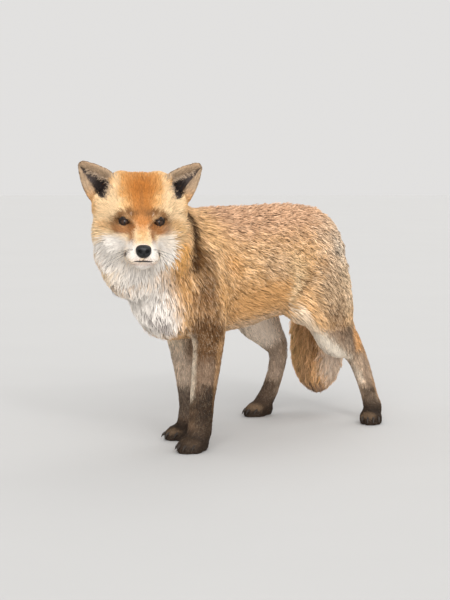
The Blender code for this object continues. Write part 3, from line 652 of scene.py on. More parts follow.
TAIL_MARKS = (
    ((-40, 262, 185), (-44, 272, 118), (12, 22, 12), (0.31, 0.135, 0.045), 0.85),
    ((-70, 270, 170), (-80, 282, 80), (30, 20, 18), (0.68, 0.38, 0.18), 0.75),
    ((-76, 276, 90), (-70, 282, 74), (16, 18, 13), (0.36, 0.22, 0.12), 0.5),
    # the brush's pale right side, raised near white: partly its own cream, partly painted light where it lies
    # in shade
    ((-8, 296, 130), (-16, 304, 76), (25, 30, 26), (1.0, 0.78, 0.60), 1.0),
    ((-100, 276, 150), (-92, 276, 110), (20, 22, 24), PALE_ORANGE, 0.7),
    # darker along the brush's lowest edge, near the floor: painted shade
    ((-90, 296, 46), (-40, 300, 44), (30, 44, 15), (0.30, 0.195, 0.14), 0.85),
)
WHISKER_DOTS = (
    (17, 56, -34), (20.5, 51, -35), (18.5, 54, -38), (22, 48, -39), (17.5, 56, -42), (21.5, 50, -43),
)
# The head's markings, on both sides: (left, forward, up) in millimetres from between the eyes.
HEAD_MARKS = (
    ((0, -80, 10), (0, -70, 10), (70, 40, 55), SANDY, 0.6),
    ((0, -30, 66), (0, -40, 60), (46, 40, 22), ORANGE, 0.8),
    ((0, -22, 58), (18, -22, 56), (26, 46, 22), GOLD, 0.8),
    ((0, -10, 40), (0, 0, 20), (29, 46, 18), GOLD, 0.85),
    ((0, -6, 34), (18, -6, 33), (13, 46, 12), GOLD, 0.5),
    ((0, -22, 58), (14, -22, 58), (20, 46, 20), RUST, 0.6),
    ((0, -14, 46), (0, 0, 19), (19, 46, 15), RUST, 0.85),
    ((0, -20, 64), (0, -4, 30), (3.0, 12, 8), BROWN, 0.35),
    ((66, -24, 4), (72, -30, -22), (16, 26, 18), PALE_BUFF, 0.6),
    ((48, -8, -9), (64, -20, -13), (9, 18, 8), ORANGE, 0.45),
    ((12, 12, 11), (21, 8, 17), (6, 14, 6.5), BROWN, 0.85),
    ((21, 8, 17), (33, 4, 12.5), (6, 12, 5.5), BROWN, 0.8),
    ((33, 4, 12.5), (45, -4, 3), (5.5, 12, 5), BROWN, 0.6),
    ((7, 14, 14), (11, 12, 6), (4.5, 12, 6), BROWN, 0.55),
    ((0, 12, 20), (0, 14, 9), (14, 12, 7), BROWN, 0.5),
    ((20, 10, -1), (35, 6, 2), (9.0, 14, 7.5), BROWN, 1.0),
    ((19, 10, -2.5), (36, 5, 2.5), (6.0, 14, 5.2), DARK, 0.95),
    ((19, 12, -3), (13, 16, -7), (3.8, 10, 3.2), DARK, 0.95),
    ((38, 4, -2), (46, -4, -5), (6, 12, 4.5), BROWN, 0.8),
    ((23, 12, -11), (40, 2, -13), (8, 14, 6.5), (0.38, 0.155, 0.050), 0.9),
    ((0, 18, 5), (0, 32, -6), (15, 16, 9), (0.53, 0.22, 0.065), 1.0),
    ((0, 36, -9), (0, 50, -15), (13, 13, 8), (0.70, 0.40, 0.165), 0.9),
    ((0, 57, -20), (0, 62, -22), (12, 9, 6), CREAM, 0.35),
    ((17, 22, -7), (21, 42, -28), (6.0, 14, 6), (0.27, 0.105, 0.032), 1.0),
    ((17.5, 10, 13.8), (17.8, 10, 13.4), (1.3, 8, 1.3), CREAM, 0.5),
    ((36, 6, -36), (46, -6, -38), (18, 28, 13), WHITE, 1.0),
    ((46, -10, -50), (68, -30, -54), (20, 30, 15), WHITE, 1.0),
    ((40, -10, -70), (56, -24, -74), (22, 34, 18), WHITE, 1.0),
    ((15, 40, -40), (15, 56, -40), (13, 26, 13), WHITE, 1.0),
    ((0, 52, -58), (0, 40, -60), (24, 20, 12), WHITE, 1.0),
    ((0, 10, -95), (0, -10, -120), (60, 46, 34), WHITE, 1.0),
    ((28, 37, -44), (31, 33, -47), (5.0, 9, 4.5), DARK, 0.95),
    ((4, 66, -55), (18, 56, -54), (4, 8, 3), (0.66, 0.48, 0.42), 0.55),
    # grey-pink just below the nose: partly the lip's tint, partly painted shade under the nose
    ((5, 68, -46), (16, 60, -46.5), (3, 8, 1.8), (0.66, 0.50, 0.44), 0.5),
    *((dot, dot, (1.3, 4, 1.0), ASH, 0.8) for dot in WHISKER_DOTS),
    ((44, 10, -30), (66, -16, -32), (8, 12, 1.6), ASH, 0.35),
    ((42, 10, -44), (66, -14, -50), (8, 12, 1.6), ASH, 0.30),
    ((70, -36, -88), (68, -36, -98), (10, 20, 12), ORANGE, 0.4),
    ((84, -56, 22), (80, -54, 12), (12, 20, 11), ORANGE, 0.6),
    ((39, -36, 58), (45, -36, 38), (5, 30, 12), PALE_BUFF, 0.6),
)
# On the left cheek alone.
NEAR_CHEEK_MARKS = (
    ((27, 8, -15), (42, 0, -17), (7, 14, 4.5), (0.36, 0.15, 0.05), 0.85),
    # a greyer patch on the near cheek's white: painted shade, where that side of the face lies darker
    ((46, 0, -28), (60, -14, -34), (14, 22, 16), (0.80, 0.66, 0.50), 0.5),
    ((54, -12, -9), (64, -20, -18), (10, 22, 8), (0.58, 0.35, 0.16), 0.6),
    ((64, -20, -24), (67, -22, -48), (9, 26, 14), (0.62, 0.38, 0.17), 0.85),
)
# Where the hairs are banded dark and tipped pale, and how strongly, in place of a colour.
GRIZZLE_MARKS = (
    ((10, -262, 300), (20, -226, 210), (60, 36, 44), (0.0,), 1.0),
    ((90, -168, 330), (90, -156, 200), (30, 28, 24), (0.8,), 1.0),
    ((74, -186, 400), (85, -185, 330), (20, 12, 14), (0.15,), 1.0),
    ((86, -60, 246), (90, 60, 262), (34, 34, 26), (0.12,), 0.9),
    ((90, -30, 320), (90, 60, 320), (40, 50, 34), (0.8,), 0.8),
    ((80, 190, 330), (90, 170, 230), (50, 60, 50), (0.9,), 0.9),
    ((84, 88, 226), (62, 236, 114), (26, 16, 14), (0.0,), 1.0),
)


def strokes(places, values, rows, wobble):
    """Values with each marking laid over the last: full within it, with a soft, drifting edge."""
    for start, end, size, shade, strength in rows:
        scaled = places / size
        first, last = np.array(start) / size, np.array(end) / size
        run = last - first
        share = np.clip((scaled - first) @ run / max(run @ run, 1e-9), 0, 1)
        reach = np.linalg.norm(scaled - first - share[:, None] * run, axis=1) + wobble
        values = mixed(values, shade, (ease(*EDGE_FADE, reach) * strength)[:, None])
    return values


def mirrored(rows, middle):
    """Each marking with its mirror image across x = middle; one that lies on it stays alone."""
    result = []
    for start, end, *rest in rows:
        result.append((start, end, *rest))
        if start[0] != middle or end[0] != middle:
            result.append(((2 * middle - start[0], *start[1:]), (2 * middle - end[0], *end[1:]), *rest))
    return result


def per_node(table, owner):
    """A value for each place from the longest name in the table that its solid's name starts with."""
    rows = []
    for node in FILLED:
        key = max((key for key in table if node.startswith(key)), key=len)
        rows.append(np.atleast_1d(table[key]))
    return np.array(rows)[owner]


def marked(places, normals, ground, owner, hollow):
    """The coat's colour all over: the body's markings, the head's, the ears', and painted shade in the ears'
    hollows.
    """
    names = np.array(FILLED)[owner]
    wobble = drift(places, 0.006, 3) * EDGE_WOBBLE + drift(places, 0.020, 4) * EDGE_WOBBLE
    rows = mirrored(BOTH_MARKS, MIDLINE) + list(OWN_MARKS + LEG_MARKS + TAIL_MARKS)
    body = strokes(places / MM, ground, rows, wobble)
    head = strokes(to_head(places), ground, mirrored(HEAD_MARKS, 0) + list(NEAR_CHEEK_MARKS), wobble)
    colour = np.where(np.isin(names, FACE)[:, None], head, body)
    on_ear = np.isin(names, ("ear_left", "ear_right"))
    colour[on_ear] = ear_colour(places[on_ear], normals[on_ear])
    # painted shade in the ears' hollows
    return mixed(colour, hollow_shade_colour(places), hollow[:, None])


def hollow_shade_colour(places):
    """Painted shade in an ear's hollow: near black at its depth, dark grey towards its tip."""
    away = (np.abs(to_head(places)) - HOLLOW_HEART) * (1, 0.3, 1)
    return mixed(HOLLOW_SHADE_GREY, BLACK, ease(20, 8, np.linalg.norm(away, axis=1))[:, None])


def ear_colour(places, normals):
    """Dark behind, buff on the rims, orange at the base."""
    inward = ease(-0.15, 0.35, normals @ FORWARD)[:, None]
    height = to_head(places)[:, 2:3]
    front = mixed(EAR_RIM, BROWN, ease(72, 84, height) * 0.3)
    front = mixed(front, ORANGE, ease(46, 20, height) * 0.7)
    colour = mixed(mixed(DARK, BROWN, 0.2), front, inward)
    return mixed(colour, RUST, ease(40, 18, height) * (1 - inward))


def grizzled(places, owner):
    """How strongly hairs are banded: most on shoulder, flank and rump, least on face and bib."""
    ground = per_node(GROUND_GRIZZLE, owner)
    names = np.array(FILLED)[owner]
    body = strokes(places / MM, ground, mirrored(GRIZZLE_MARKS, MIDLINE), 0)
    return np.where(np.isin(names, ("head", "nose", "ear_left", "ear_right"))[:, None], ground, body)


# ------------------------------------------------------------------ building the skin

def made_skin():
    """The skin inside the coat, with everything the coat needs to know on its vertices."""
    outer = flesh_form()
    places, normals, edges, triangles = surface(outer)
    places = smoothed(places, edges, 14, HOLD)
    reshaped(outer, places)
    places, normals, edges, triangles = surface(outer)
    outer_ball = BVHTree.FromPolygons(places.tolist(), triangles.tolist())
    owner = nodes_at(places)
    _, measure = guided(places, owner)
    depth = smoothed(measure[:, 1:2] * MM, edges, 20)[:, 0]
    depth = depth * (1 - ease(0.0045, 0.0015, places[:, 2]))
    inward = unit(smoothed(normals, edges, 4))
    reshaped(outer, places - inward * depth[:, None])
    skin = remeshed(outer, SKIN_VOXEL)
    places, normals, edges, triangles = surface(skin)
    places = smoothed(places, edges, 10, HOLD)
    places[:, 2] = np.maximum(places[:, 2], 0)
    reshaped(skin, places)
    places, normals, edges, triangles = surface(skin)
    room = np.array([outer_ball.find_nearest(place)[3] for place in places.tolist()])
    room = np.minimum(room, smoothed(room[:, None], edges, 6)[:, 0] * ROOM_PEAK)
    owner = nodes_at(places)
    hollow = hollow_share(places, normals)
    places = carved_ears(places, normals, triangles)
    places = seated_nose(sunk_sockets(places))
    ground = smoothed(per_node(GROUND, owner), edges, 30)
    colour = marked(places, normals, ground, owner, hollow)
    reshaped(skin, places)
    places, normals, edges, triangles = surface(skin)
    lie, measure = guided(places, owner)
    lie = laid(smoothed(laid(lie, normals), edges, 10), normals)
    measure = smoothed(measure, edges, 12)
    grizzle = smoothed(grizzled(places, owner), edges, 8)
    return {"mesh": skin, "places": places, "normals": normals, "triangles": triangles, "owner": owner,
            "lie": lie, "length": measure[:, 0] * MM, "width": measure[:, 2] * MM, "wave": measure[:, 3] * MM,
            "room": mixed(room, HOLLOW_ROOM, hollow), "colour": colour, "grizzle": grizzle[:, 0],
            "sole": ease(0.003, 0.001, places[:, 2])}


SKIN = made_skin()
SKIN_TREE = tree_of(SKIN["places"])
EVERY = np.hstack([SKIN[key] for key in ("normals", "lie", "colour")]
                  + [SKIN[key][:, None] for key in ("length", "width", "wave", "room", "grizzle")])

# ------------------------------------------------------------------ the coat

# Each coat piece: its solids, its side, the axis its bake map is wound around, tufts' stations and cover.
HEADWAY = tuple(FORWARD)
DOWN = (0.0, 0.0, -1.0)
BACKWAY = (0.0, 1.0, 0.0)
COATS = (
    ("coat_face_left", ("head", "eye_left", "nose"), "left", HEADWAY, 2, 4.5),
    ("coat_face_right", ("head", "eye_right", "nose"), "right", HEADWAY, 2, 4.5),
    ("coat_ears", ("ear_left", "ear_right"), None, tuple(UPWARD), 2, 3.6),
    ("coat_neck", ("neck",), None, (0.0, 0.6, -0.8), 3, 6.0),
    ("coat_chest_left", ("trunk_chest",), "left", BACKWAY, 3, 6.3),
    ("coat_chest_right", ("trunk_chest",), "right", BACKWAY, 3, 4.6),
    ("coat_loin_left", ("trunk_loin",), "left", BACKWAY, 3, 6.6),
    ("coat_loin_right", ("trunk_loin",), "right", BACKWAY, 3, 4.6),
    ("coat_brush_upper", ("tail_root", "tail_middle"), None, DOWN, 3, 5.5),
    ("coat_brush_tip", ("tail_end",), None, DOWN, 3, 7.0),
    ("coat_shoulder_left", ("upper_leg_front_left",), None, DOWN, 3, 6.0),
    ("coat_shoulder_right", ("upper_leg_front_right",), None, DOWN, 3, 4.2),
    ("coat_thigh_left", ("upper_leg_hind_left",), None, DOWN, 3, 5.8),
    ("coat_thigh_right", ("upper_leg_hind_right",), None, DOWN, 3, 3.6),
    ("coat_forelegs", ("lower_leg_front_left", "lower_leg_front_right"), None, DOWN, 2, 2.5),
    ("coat_hind_legs", ("lower_leg_hind_left", "lower_leg_hind_right"), None, DOWN, 2, 2.5),
    ("coat_front_paws", ("paw_front_left", "paw_front_right"), None, DOWN, 2, 2.0),
    ("coat_hind_paws", ("paw_hind_left", "paw_hind_right"), None, DOWN, 2, 2.0),
)
TUFT_LIMIT = {2: 19500, 3: 12300}  # tufts that keep a piece below 200,000 triangles, by stations
CORNERS = 3
THICKNESS = {2: (0.75, 0.85), 3: (0.6, 1.0, 0.75)}  # a tuft's width at each station, as a share of its own
RIDGE = 0.4  # how far its middle stands up, as a share of that width
SPLAY = 0.5  # how far a tuft's side normals turn down
OWN_NORMAL = 0.32  # a tuft's own normals against
SKIN_NORMAL = 0.80  # the skin's
EYE_CLEARANCE = 1.0  # millimetres outside an eye's opening
NOSE_CLEARANCE = 0.35  # a share of the nose's outline
ROOT_DEPTH = 0.4 * MM
PATCH = 0.003  # the side of a tuft's square in the bake map
CURL_SIZE = 0.009  # metres between the coat's curls
SWIRL_SIZE = 0.014  # metres between places where the locks turn to the one side and to the other
MOTTLE_SIZE = 0.006  # metres between lighter and darker spots where the coat is grizzled
FULL_WAVE = 2.2  # millimetres: a coat that waves so far counts as wholly wavy
WAVE_SHORTENING = 0.20
SWIRL_TURN = 0.60
SWAY_TURN = 5.2  # radians of its sine wave from a tuft's root to its tip
CURL_HEIGHT = 0.30
# how much lighter a curl that stands high is painted, and a low one darker: painted light and shade
CURL_PAINTED_SHADING = 0.20
MOTTLE_SHADE = 0.24
PALE = (0.50, 0.75)  # the mean of a coat's colour where it begins to be pale, and where it is
PALE_CALM = 0.45  # how much less light and dark vary in a pale coat
LOCK_SHADE = (0.10, 0.22)  # how far locks vary in a plain coat, and how much more in a grizzled one
TUFT_SHADE = (0.12, 0.14)  # the same for single tufts
STEP_LIFT = 0.6  # how far each step of a tuft turns its crest to the skin's normal there
STEP_LIE = 0.35  # and its way to the lie of the hair there
FROST = (1.37, 0.98, 0.65)  # the cast of a pale banded hair beside its own mean
FROST_GAIN = 1.6
FROST_MOST = 0.55
BRIGHTEST = 0.97  # a brighter colour is scaled down to this as a whole
RIPPLE = 0.016  # metres along the body between one wave of the coat and the next
GUARD_SHARE = 0.12
GUARD_SIZES = (1.2, 0.7, 1.12)  # a guard tuft's length, width and height beside another's
LENGTHS = (0.70, 1.15)  # how far tufts spread around their guides' length
WIDTHS = (0.65, 1.2)
HEIGHTS = (0.55, 1.05)
STEEPEST = 0.75  # the greatest height of a tuft beside its length
STRAY = 0.12  # how far a single tuft turns aside
SWINGS = (0.6, 1.3)  # how far locks spread around their guides' wave
LEAN = 0.16  # how far the tufts of a straight coat lean to their leader
WAVY_LEAN = 0.22  # and how much more for each millimetre of wave, up to LEAN_MOST of them
LEAN_MOST = 1.6
LEANS = (0.5, 1.2)  # how far single tufts spread around that
COLOUR_AHEAD = 0.45  # how far along its length a tuft fetches its colour, on average
COLOUR_REACH = 0.32


def root_weights(nodes, side, cover):
    """Expected roots in each triangle of the skin: its area x cover / (length x width of its tufts)."""
    triangles = SKIN["triangles"]
    a, b, c = (SKIN["places"][triangles[:, k]] for k in range(3))
    area = np.linalg.norm(np.cross(b - a, c - a), axis=1) / 2
    middle = (a + b + c) / 3
    chosen = np.isin(np.array(FILLED)[SKIN["owner"][triangles[:, 0]]], nodes)
    if side:
        of_head = nodes[0] == "head"
        way = LEFTWARD if of_head else np.array([1.0, 0, 0])
        origin = EYE_MIDDLE if of_head else np.array([MIDLINE * MM, 0, 0])
        on_left = (middle - origin) @ way > 0
        chosen &= on_left if side == "left" else ~on_left
    for eye in EYES.values():
        local = eye.seen(middle)
        chosen &= ~((eye.edge_gap(middle) < EYE_CLEARANCE) & (np.abs(local).max(1) < 20))
    head = to_head(middle)
    chosen &= ~((nose_ring(head) < NOSE_CLEARANCE) & (head[:, 1] > 50))
    chosen &= SKIN["sole"][triangles].mean(1) < 0.5
    size = SKIN["length"] * SKIN["width"]
    return area * cover / size[triangles].mean(1) * chosen


def leaders_of(root, count):
    """For each root, the nearest of a seeded few that lead a lock of about seven tufts."""
    leaders = np.sort(chance.choice(count, max(count // 7, 1), replace=False))
    return leaders[nearest(tree_of(root[leaders]), root)]


def walked(root, normal, way, length, stations):
    """Spine, crest and sideways directions of tufts that walk along the skin in equal steps with the lie."""
    spine, crest, lateral, onward = [root], [normal], [np.cross(normal, way)], way
    here = root
    for _ in range(stations):
        here = here + onward * (length / stations)[:, None]
        close = nearest(SKIN_TREE, here)
        up = SKIN["normals"][close]
        here = here - up * ((here - SKIN["places"][close]) * up).sum(1, keepdims=True)
        up = unit(mixed(crest[-1], up, STEP_LIFT))
        onward = laid(mixed(onward, SKIN["lie"][close], STEP_LIE), up)
        spine.append(here)
        crest.append(up)
        lateral.append(np.cross(up, onward))
    return tuple(np.stack(rows, axis=1) for rows in (spine, crest, lateral))


def coat(name, nodes, side, axis, stations, cover):
    """Tufts over one part of the skin.

    A tuft starts at its root and walks along the skin; its height over the skin is room x
    sin(90 deg x share)^0.8, so that it rises fast and then lies along. A sine wave carries it from side to
    side, and a lock's tufts lean to their leader. In a wavy coat tufts are shorter, whole patches turn to one
    side or the other (swirl) and stand higher or lower (curl). Three corners at each station make a flat,
    ridged section that ends in a point.
    """
    expected = root_weights(nodes, side, cover)
    count = min(int(expected.sum()), TUFT_LIMIT[stations])
    pick = chance.choice(len(expected), count, p=expected / expected.sum())
    share = np.sort(chance.random((count, 2)), axis=1)
    mix = np.stack([share[:, 0], share[:, 1] - share[:, 0], 1 - share[:, 1]], axis=1)[:, :, None]
    triangle = SKIN["triangles"][pick]
    root = (SKIN["places"][triangle] * mix).sum(1)
    own = (EVERY[triangle] * mix).sum(1)
    normal, way = unit(own[:, 0:3]), own[:, 3:6]
    length, width, wave, room, grizzle = own[:, 9:14].T
    leader = leaders_of(root, count)
    random = chance.random(count)
    guard = np.where(chance.random(count) < GUARD_SHARE, np.array(GUARD_SIZES)[:, None], 1)
    waviness = np.minimum(wave / MM, FULL_WAVE) / FULL_WAVE
    length = length * chance.uniform(*LENGTHS, count) * guard[0] * (1 - WAVE_SHORTENING * waviness)
    width = width * chance.uniform(*WIDTHS, count) * guard[1]
    height = np.minimum(room, length * STEEPEST) * chance.uniform(*HEIGHTS, count) * guard[2]
    curl = drift(root, CURL_SIZE, 21) * waviness
    swirl = drift(root, SWIRL_SIZE, 22) * waviness * SWIRL_TURN
    height = height * (1 + CURL_HEIGHT * curl)
    way = laid(way + np.cross(normal, way) * (chance.normal(0, STRAY, count) + swirl)[:, None], normal)
    phase = root[:, 1] / RIPPLE * 2 * np.pi + curl * 1.5 + chance.normal(0, 0.5, count)
    swing = chance.uniform(*SWINGS, count)[leader]
    pull = (LEAN + WAVY_LEAN * np.minimum(wave / MM, LEAN_MOST)) * chance.uniform(*LEANS, count)
    steps = np.linspace(0, 1, stations + 1)
    spine, crest, lateral = walked(root, normal, way, length, stations)
    lift = np.sin(np.pi / 2 * steps) ** 0.8 * height[:, None]
    sway = (wave * swing)[:, None] * np.sin(phase[:, None] + steps * SWAY_TURN) * steps ** 0.5
    spine = spine + crest * lift[:, :, None] + lateral * sway[:, :, None]
    spine = spine + (spine[leader] - spine) * (pull[:, None] * steps ** 1.2)[:, :, None]
    spine[:, 0] -= normal * ROOT_DEPTH
    tint = tuft_colours(root, way, length, leader, grizzle, curl)
    piece = show(name, tuft_mesh(name, spine, crest, lateral, width, stations))
    dress(piece, root, tint, steps, random, grizzle, axis, stations)
    return piece


def dress(piece, root, tint, steps, random, grizzle, axis, stations):
    """A coat piece's colours, bake map and finish; "strand" is (along, random, grizzle, across)."""
    per = stations * CORNERS + 1
    along = np.concatenate([np.repeat(steps[:-1], CORNERS), [1.0]])
    across = np.concatenate([np.tile([0.0, 1.0, 0.5], stations), [0.5]])
    columns = (along[None, :], random[:, None], grizzle[:, None], across[None, :])
    strand = np.stack(np.broadcast_arrays(*columns), axis=2)
    paint(piece.data, "coat_colour", np.repeat(tint, per, axis=0))
    paint(piece.data, "strand", strand.reshape(-1, 4))
    lay_patches(piece.data, root, axis, along, across)
    piece.data.materials.append(COAT_FINISH)


def tuft_colours(root, way, length, leader, grizzle, curl):
    """The skin's colour about half a tuft ahead of each root, lighter or darker by lock, tuft and mottle, and
    by painted light and shade on the curls: lighter where a curl stands high, darker where it lies low; the
    light ones of a grizzled coat are frosted."""
    count = len(root)
    fetched = root + way * (length * chance.normal(COLOUR_AHEAD, COLOUR_REACH, count))[:, None]
    tint = SKIN["colour"][nearest(SKIN_TREE, fetched)]
    lock = chance.uniform(-1, 1, count)[leader] * (LOCK_SHADE[0] + LOCK_SHADE[1] * grizzle)
    single = chance.uniform(-1, 1, count) * (TUFT_SHADE[0] + TUFT_SHADE[1] * grizzle)
    mottle = drift(root, MOTTLE_SIZE, 31) * grizzle
    calm = 1 - PALE_CALM * ease(*PALE, tint.mean(1))
    shade = (lock + single) * calm + curl * CURL_PAINTED_SHADING + mottle * MOTTLE_SHADE
    frost = (np.clip(shade * FROST_GAIN, 0, FROST_MOST) * grizzle)[:, None]
    tint = tint * (1 + shade)[:, None]
    tint = mixed(tint, np.array(FROST) * tint.mean(1)[:, None], frost)
    return tint * np.minimum(BRIGHTEST / tint.max(1), 1)[:, None]


def tuft_mesh(name, spine, crest, lateral, width, stations):
    """All tufts of a piece as one mesh, with soft normals between each tuft's own and the skin's."""
    count = len(spine)
    broad = width[:, None, None] * np.array(THICKNESS[stations])[None, :, None]
    base, up, beside = spine[:, :-1], crest[:, :-1], lateral[:, :-1]
    rings = [base - beside * broad / 2, base + beside * broad / 2, base + up * broad * RIDGE]
    bends = [-beside - up * SPLAY, beside - up * SPLAY, up]
    places, bend = (
        np.concatenate([np.stack(rows, axis=2).reshape(count, stations * CORNERS, 3), end], axis=1)
        for rows, end in ((rings, spine[:, -1:]), (bends, crest[:, -1:])))
    soft = unit(bend * OWN_NORMAL + crest[:, :1] * SKIN_NORMAL)
    mesh = bpy.data.meshes.new(name)
    faces, sizes = tuft_faces(stations)
    shift = (np.arange(count) * (stations * CORNERS + 1))[:, None]
    fill(mesh, places.reshape(-1, 3), (faces[None, :] + shift).ravel(), np.tile(sizes, count))
    mesh.normals_split_custom_set_from_vertices(soft.reshape(-1, 3).astype(np.float32))
    return mesh


def tuft_faces(stations):
    """Corner indices and face sizes of one tuft: root cap, walls, tip."""
    faces, sizes = [0, 2, 1], [3]
    for ring in range(stations - 1):
        for corner in range(CORNERS):
            beside = (corner + 1) % CORNERS
            low = ring * CORNERS
            faces += [low + corner, low + beside, low + CORNERS + beside, low + CORNERS + corner]
            sizes.append(4)
    low = (stations - 1) * CORNERS
    for corner in range(CORNERS):
        faces += [low + corner, low + (corner + 1) % CORNERS, stations * CORNERS]
        sizes.append(3)
    return np.array(faces), np.array(sizes)


def lay_patches(mesh, root, axis, along, across):
    """OFBake: u is the angle around the axis and v the way along it, both filling the square; a tuft's patch
    stands at its root's place."""
    axis = np.array(axis) / np.linalg.norm(axis)
    aside = (0.31, 0.17, 0.93) if abs(axis[2]) < 0.9 else (1.0, 0.2, 0.0)
    first = unit(np.cross(axis, aside))
    second = np.cross(axis, first)
    offset = root - root.mean(0)
    turn = np.arctan2(offset @ second, offset @ first)
    flat = np.stack([turn, offset @ axis], axis=1)
    flat = (flat - flat.min(0)) / (flat.max(0) - flat.min(0)) * (1 - 2 * PATCH) + PATCH / 2
    patch = np.stack([across, along], axis=1) * PATCH
    corners = (flat[:, None, :] + patch[None, :, :]).reshape(-1, 2)
    order = read(mesh.loops, "vertex_index", 1, np.int32)
    mesh.uv_layers.new(name="OFBake").data.foreach_set("uv", corners[order].astype(np.float32).ravel())


# ------------------------------------------------------------------ finishes

class Value:
    """A socket in a graph of nodes; Python's operators on it add Math nodes."""

    def __init__(self, finish, socket):
        self.finish = finish
        self.socket = socket

    def math(self, operation, *others):
        sockets = dict(enumerate((self, *others)))
        return self.finish.add("ShaderNodeMath", {"operation": operation}, sockets)

    def __add__(self, other):
        return self.math("ADD", other)

    def __sub__(self, other):
        return self.math("SUBTRACT", other)

    def __rsub__(self, other):
        return self.finish.add("ShaderNodeMath", {"operation": "SUBTRACT"}, {0: other, 1: self})

    def __mul__(self, other):
        return self.math("MULTIPLY", other)

    def __pow__(self, other):
        return self.math("POWER", other)

    __radd__ = __add__
    __rmul__ = __mul__


class Finish:
    """A material and its graph. Plain numbers are set on the shader's own sockets."""

    def __init__(self, name, **constants):
        self.material = bpy.data.materials.new(name)
        self.material.use_nodes = True
        self.nodes = self.material.node_tree.nodes
        self.links = self.material.node_tree.links
        self.shader = self.nodes["Principled BSDF"]
        for key, value in constants.items():
            self.shader.inputs[key.replace("_", " ")].default_value = value

    def add(self, kind, settings=None, sockets=None, out=0):
        """A node of this kind: its settings first, then its sockets' values and links."""
        node = self.nodes.new(kind)
        for key, value in (settings or {}).items():
            setattr(node, key, value)
        for key, value in (sockets or {}).items():
            self.join(value, node.inputs[key])
        return Value(self, node.outputs[out])

    def join(self, value, socket):
        if isinstance(value, Value):
            self.links.new(value.socket, socket)
        else:
            socket.default_value = value

    def feed(self, **sockets):
        for key, value in sockets.items():
            self.join(value, self.shader.inputs[key.replace("_", " ")])

    def parts(self, name):
        """Red, green, blue and alpha of a colour attribute, and its colour."""
        node = self.nodes.new("ShaderNodeAttribute")
        node.attribute_name = name
        split = self.nodes.new("ShaderNodeSeparateColor")
        self.links.new(node.outputs["Color"], split.inputs[0])
        return [Value(self, split.outputs[k]) for k in range(3)] + [
            Value(self, node.outputs["Alpha"]), Value(self, node.outputs["Color"])]

    def blend(self, share, low, high):
        node = self.nodes.new("ShaderNodeMix")
        node.data_type = "RGBA"
        for key, value in ((0, share), (6, low), (7, high)):
            self.join(value if isinstance(value, Value) or key == 0 else (*value, 1), node.inputs[key])
        return Value(self, node.outputs[2])

    def slope(self, value, low, high):
        """0 below low, 1 above high, eased between."""
        return self.add("ShaderNodeMapRange", {"interpolation_type": "SMOOTHSTEP"},
                        {"Value": value, "From Min": low, "From Max": high})

    def scaled(self, colour, value):
        return self.add("ShaderNodeVectorMath", {"operation": "SCALE"}, {0: colour, "Scale": value})

    def place(self):
        return self.add("ShaderNodeTexCoord", out="Object")

    def noise(self, scale, detail, vector=None):
        return self.add("ShaderNodeTexNoise", {}, {
            "Vector": vector or self.place(), "Scale": scale, "Detail": detail, "Roughness": 0.55})

    def bump(self, height, strength, distance):
        self.feed(Normal=self.add("ShaderNodeBump", {}, {
            "Strength": strength, "Distance": distance, "Height": height}))


def coat_finish():
    """Hair: darker at the root, the marking's colour along it, banded and pale-tipped where grizzled."""
    finish = Finish("fox_coat", Roughness=0.68, Specular_IOR_Level=0.12)
    along, random, grizzle, across, _ = finish.parts("strand")
    _, green, _, _, colour = finish.parts("coat_colour")
    lines = {0: across * 2.6 + random * 40, 1: along * 1.1, 2: random * 17}
    streak = finish.noise(2.2, 2, finish.add("ShaderNodeCombineXYZ", {}, lines))
    patch = finish.noise(70, 3)
    gloom = (1 - finish.slope(green, 0.45, 0.80) * 0.75) * 0.44
    root = 1 - (1 - finish.slope(along, 0.0, 0.45)) * gloom
    light = root * (streak * 0.40 + 0.86)
    shaded = finish.scaled(colour, light)
    band = finish.slope(along, 0.30, 0.50) * (1 - finish.slope(along, 0.68, 0.90))
    dusk = band * grizzle * finish.slope(random + patch - 0.5, 0.42, 0.75)
    shaded = finish.blend(dusk * 0.72, shaded, (0.070, 0.035, 0.014))
    tip = finish.slope(along, 0.66, 0.95) * grizzle * finish.slope(1 - random, 0.40, 0.70)
    shaded = finish.blend(tip * 0.50, shaded, (0.88, 0.70, 0.50))
    finish.feed(Base_Color=shaded)
    finish.bump(streak, 0.25, 0.0003)
    return finish.material


def hide_finish():
    """The skin under the coat: the coat's own markings, darkened as painted shade beneath the hair, and finely
    grained.
    """
    finish = Finish("fox_hide", Roughness=0.75, Specular_IOR_Level=0.2)
    colour = finish.parts("coat_colour")[4]
    grain = finish.noise(900, 4)
    # 0.66 to 1.0 of the coat's colour: painted shade under the hair, varied by the grain
    finish.feed(Base_Color=finish.scaled(colour, grain * 0.34 + 0.66))
    finish.bump(grain, 0.5, 0.0006)
    return finish.material


def eye_finish():
    """Dark amber iris, finely flecked, an upright slit, a dark ring and a dark white, under a gloss."""
    finish = Finish("fox_eye", Roughness=0.5, Specular_IOR_Level=0.05, Coat_Weight=1.0, Coat_IOR=1.36,
                    Coat_Roughness=0.03)
    across, up, reach, _, _ = finish.parts("ball")
    slit = ((across - 0.5) * (across - 0.5) * 46 + (up - 0.5) * (up - 0.5) * 9) ** 0.5
    pupil = 1 - finish.slope(slit, 0.36, 0.46)
    outer = finish.slope(finish.noise(900, 3) + reach, 0.5, 1.1)
    iris = finish.blend(outer, (0.050, 0.022, 0.009), (0.020, 0.010, 0.006))
    eye = finish.blend(finish.slope(reach, 0.42, 0.52), iris, (0.008, 0.006, 0.005))
    eye = finish.blend(pupil, eye, (0.003, 0.003, 0.003))
    finish.feed(Base_Color=eye)
    return finish.material


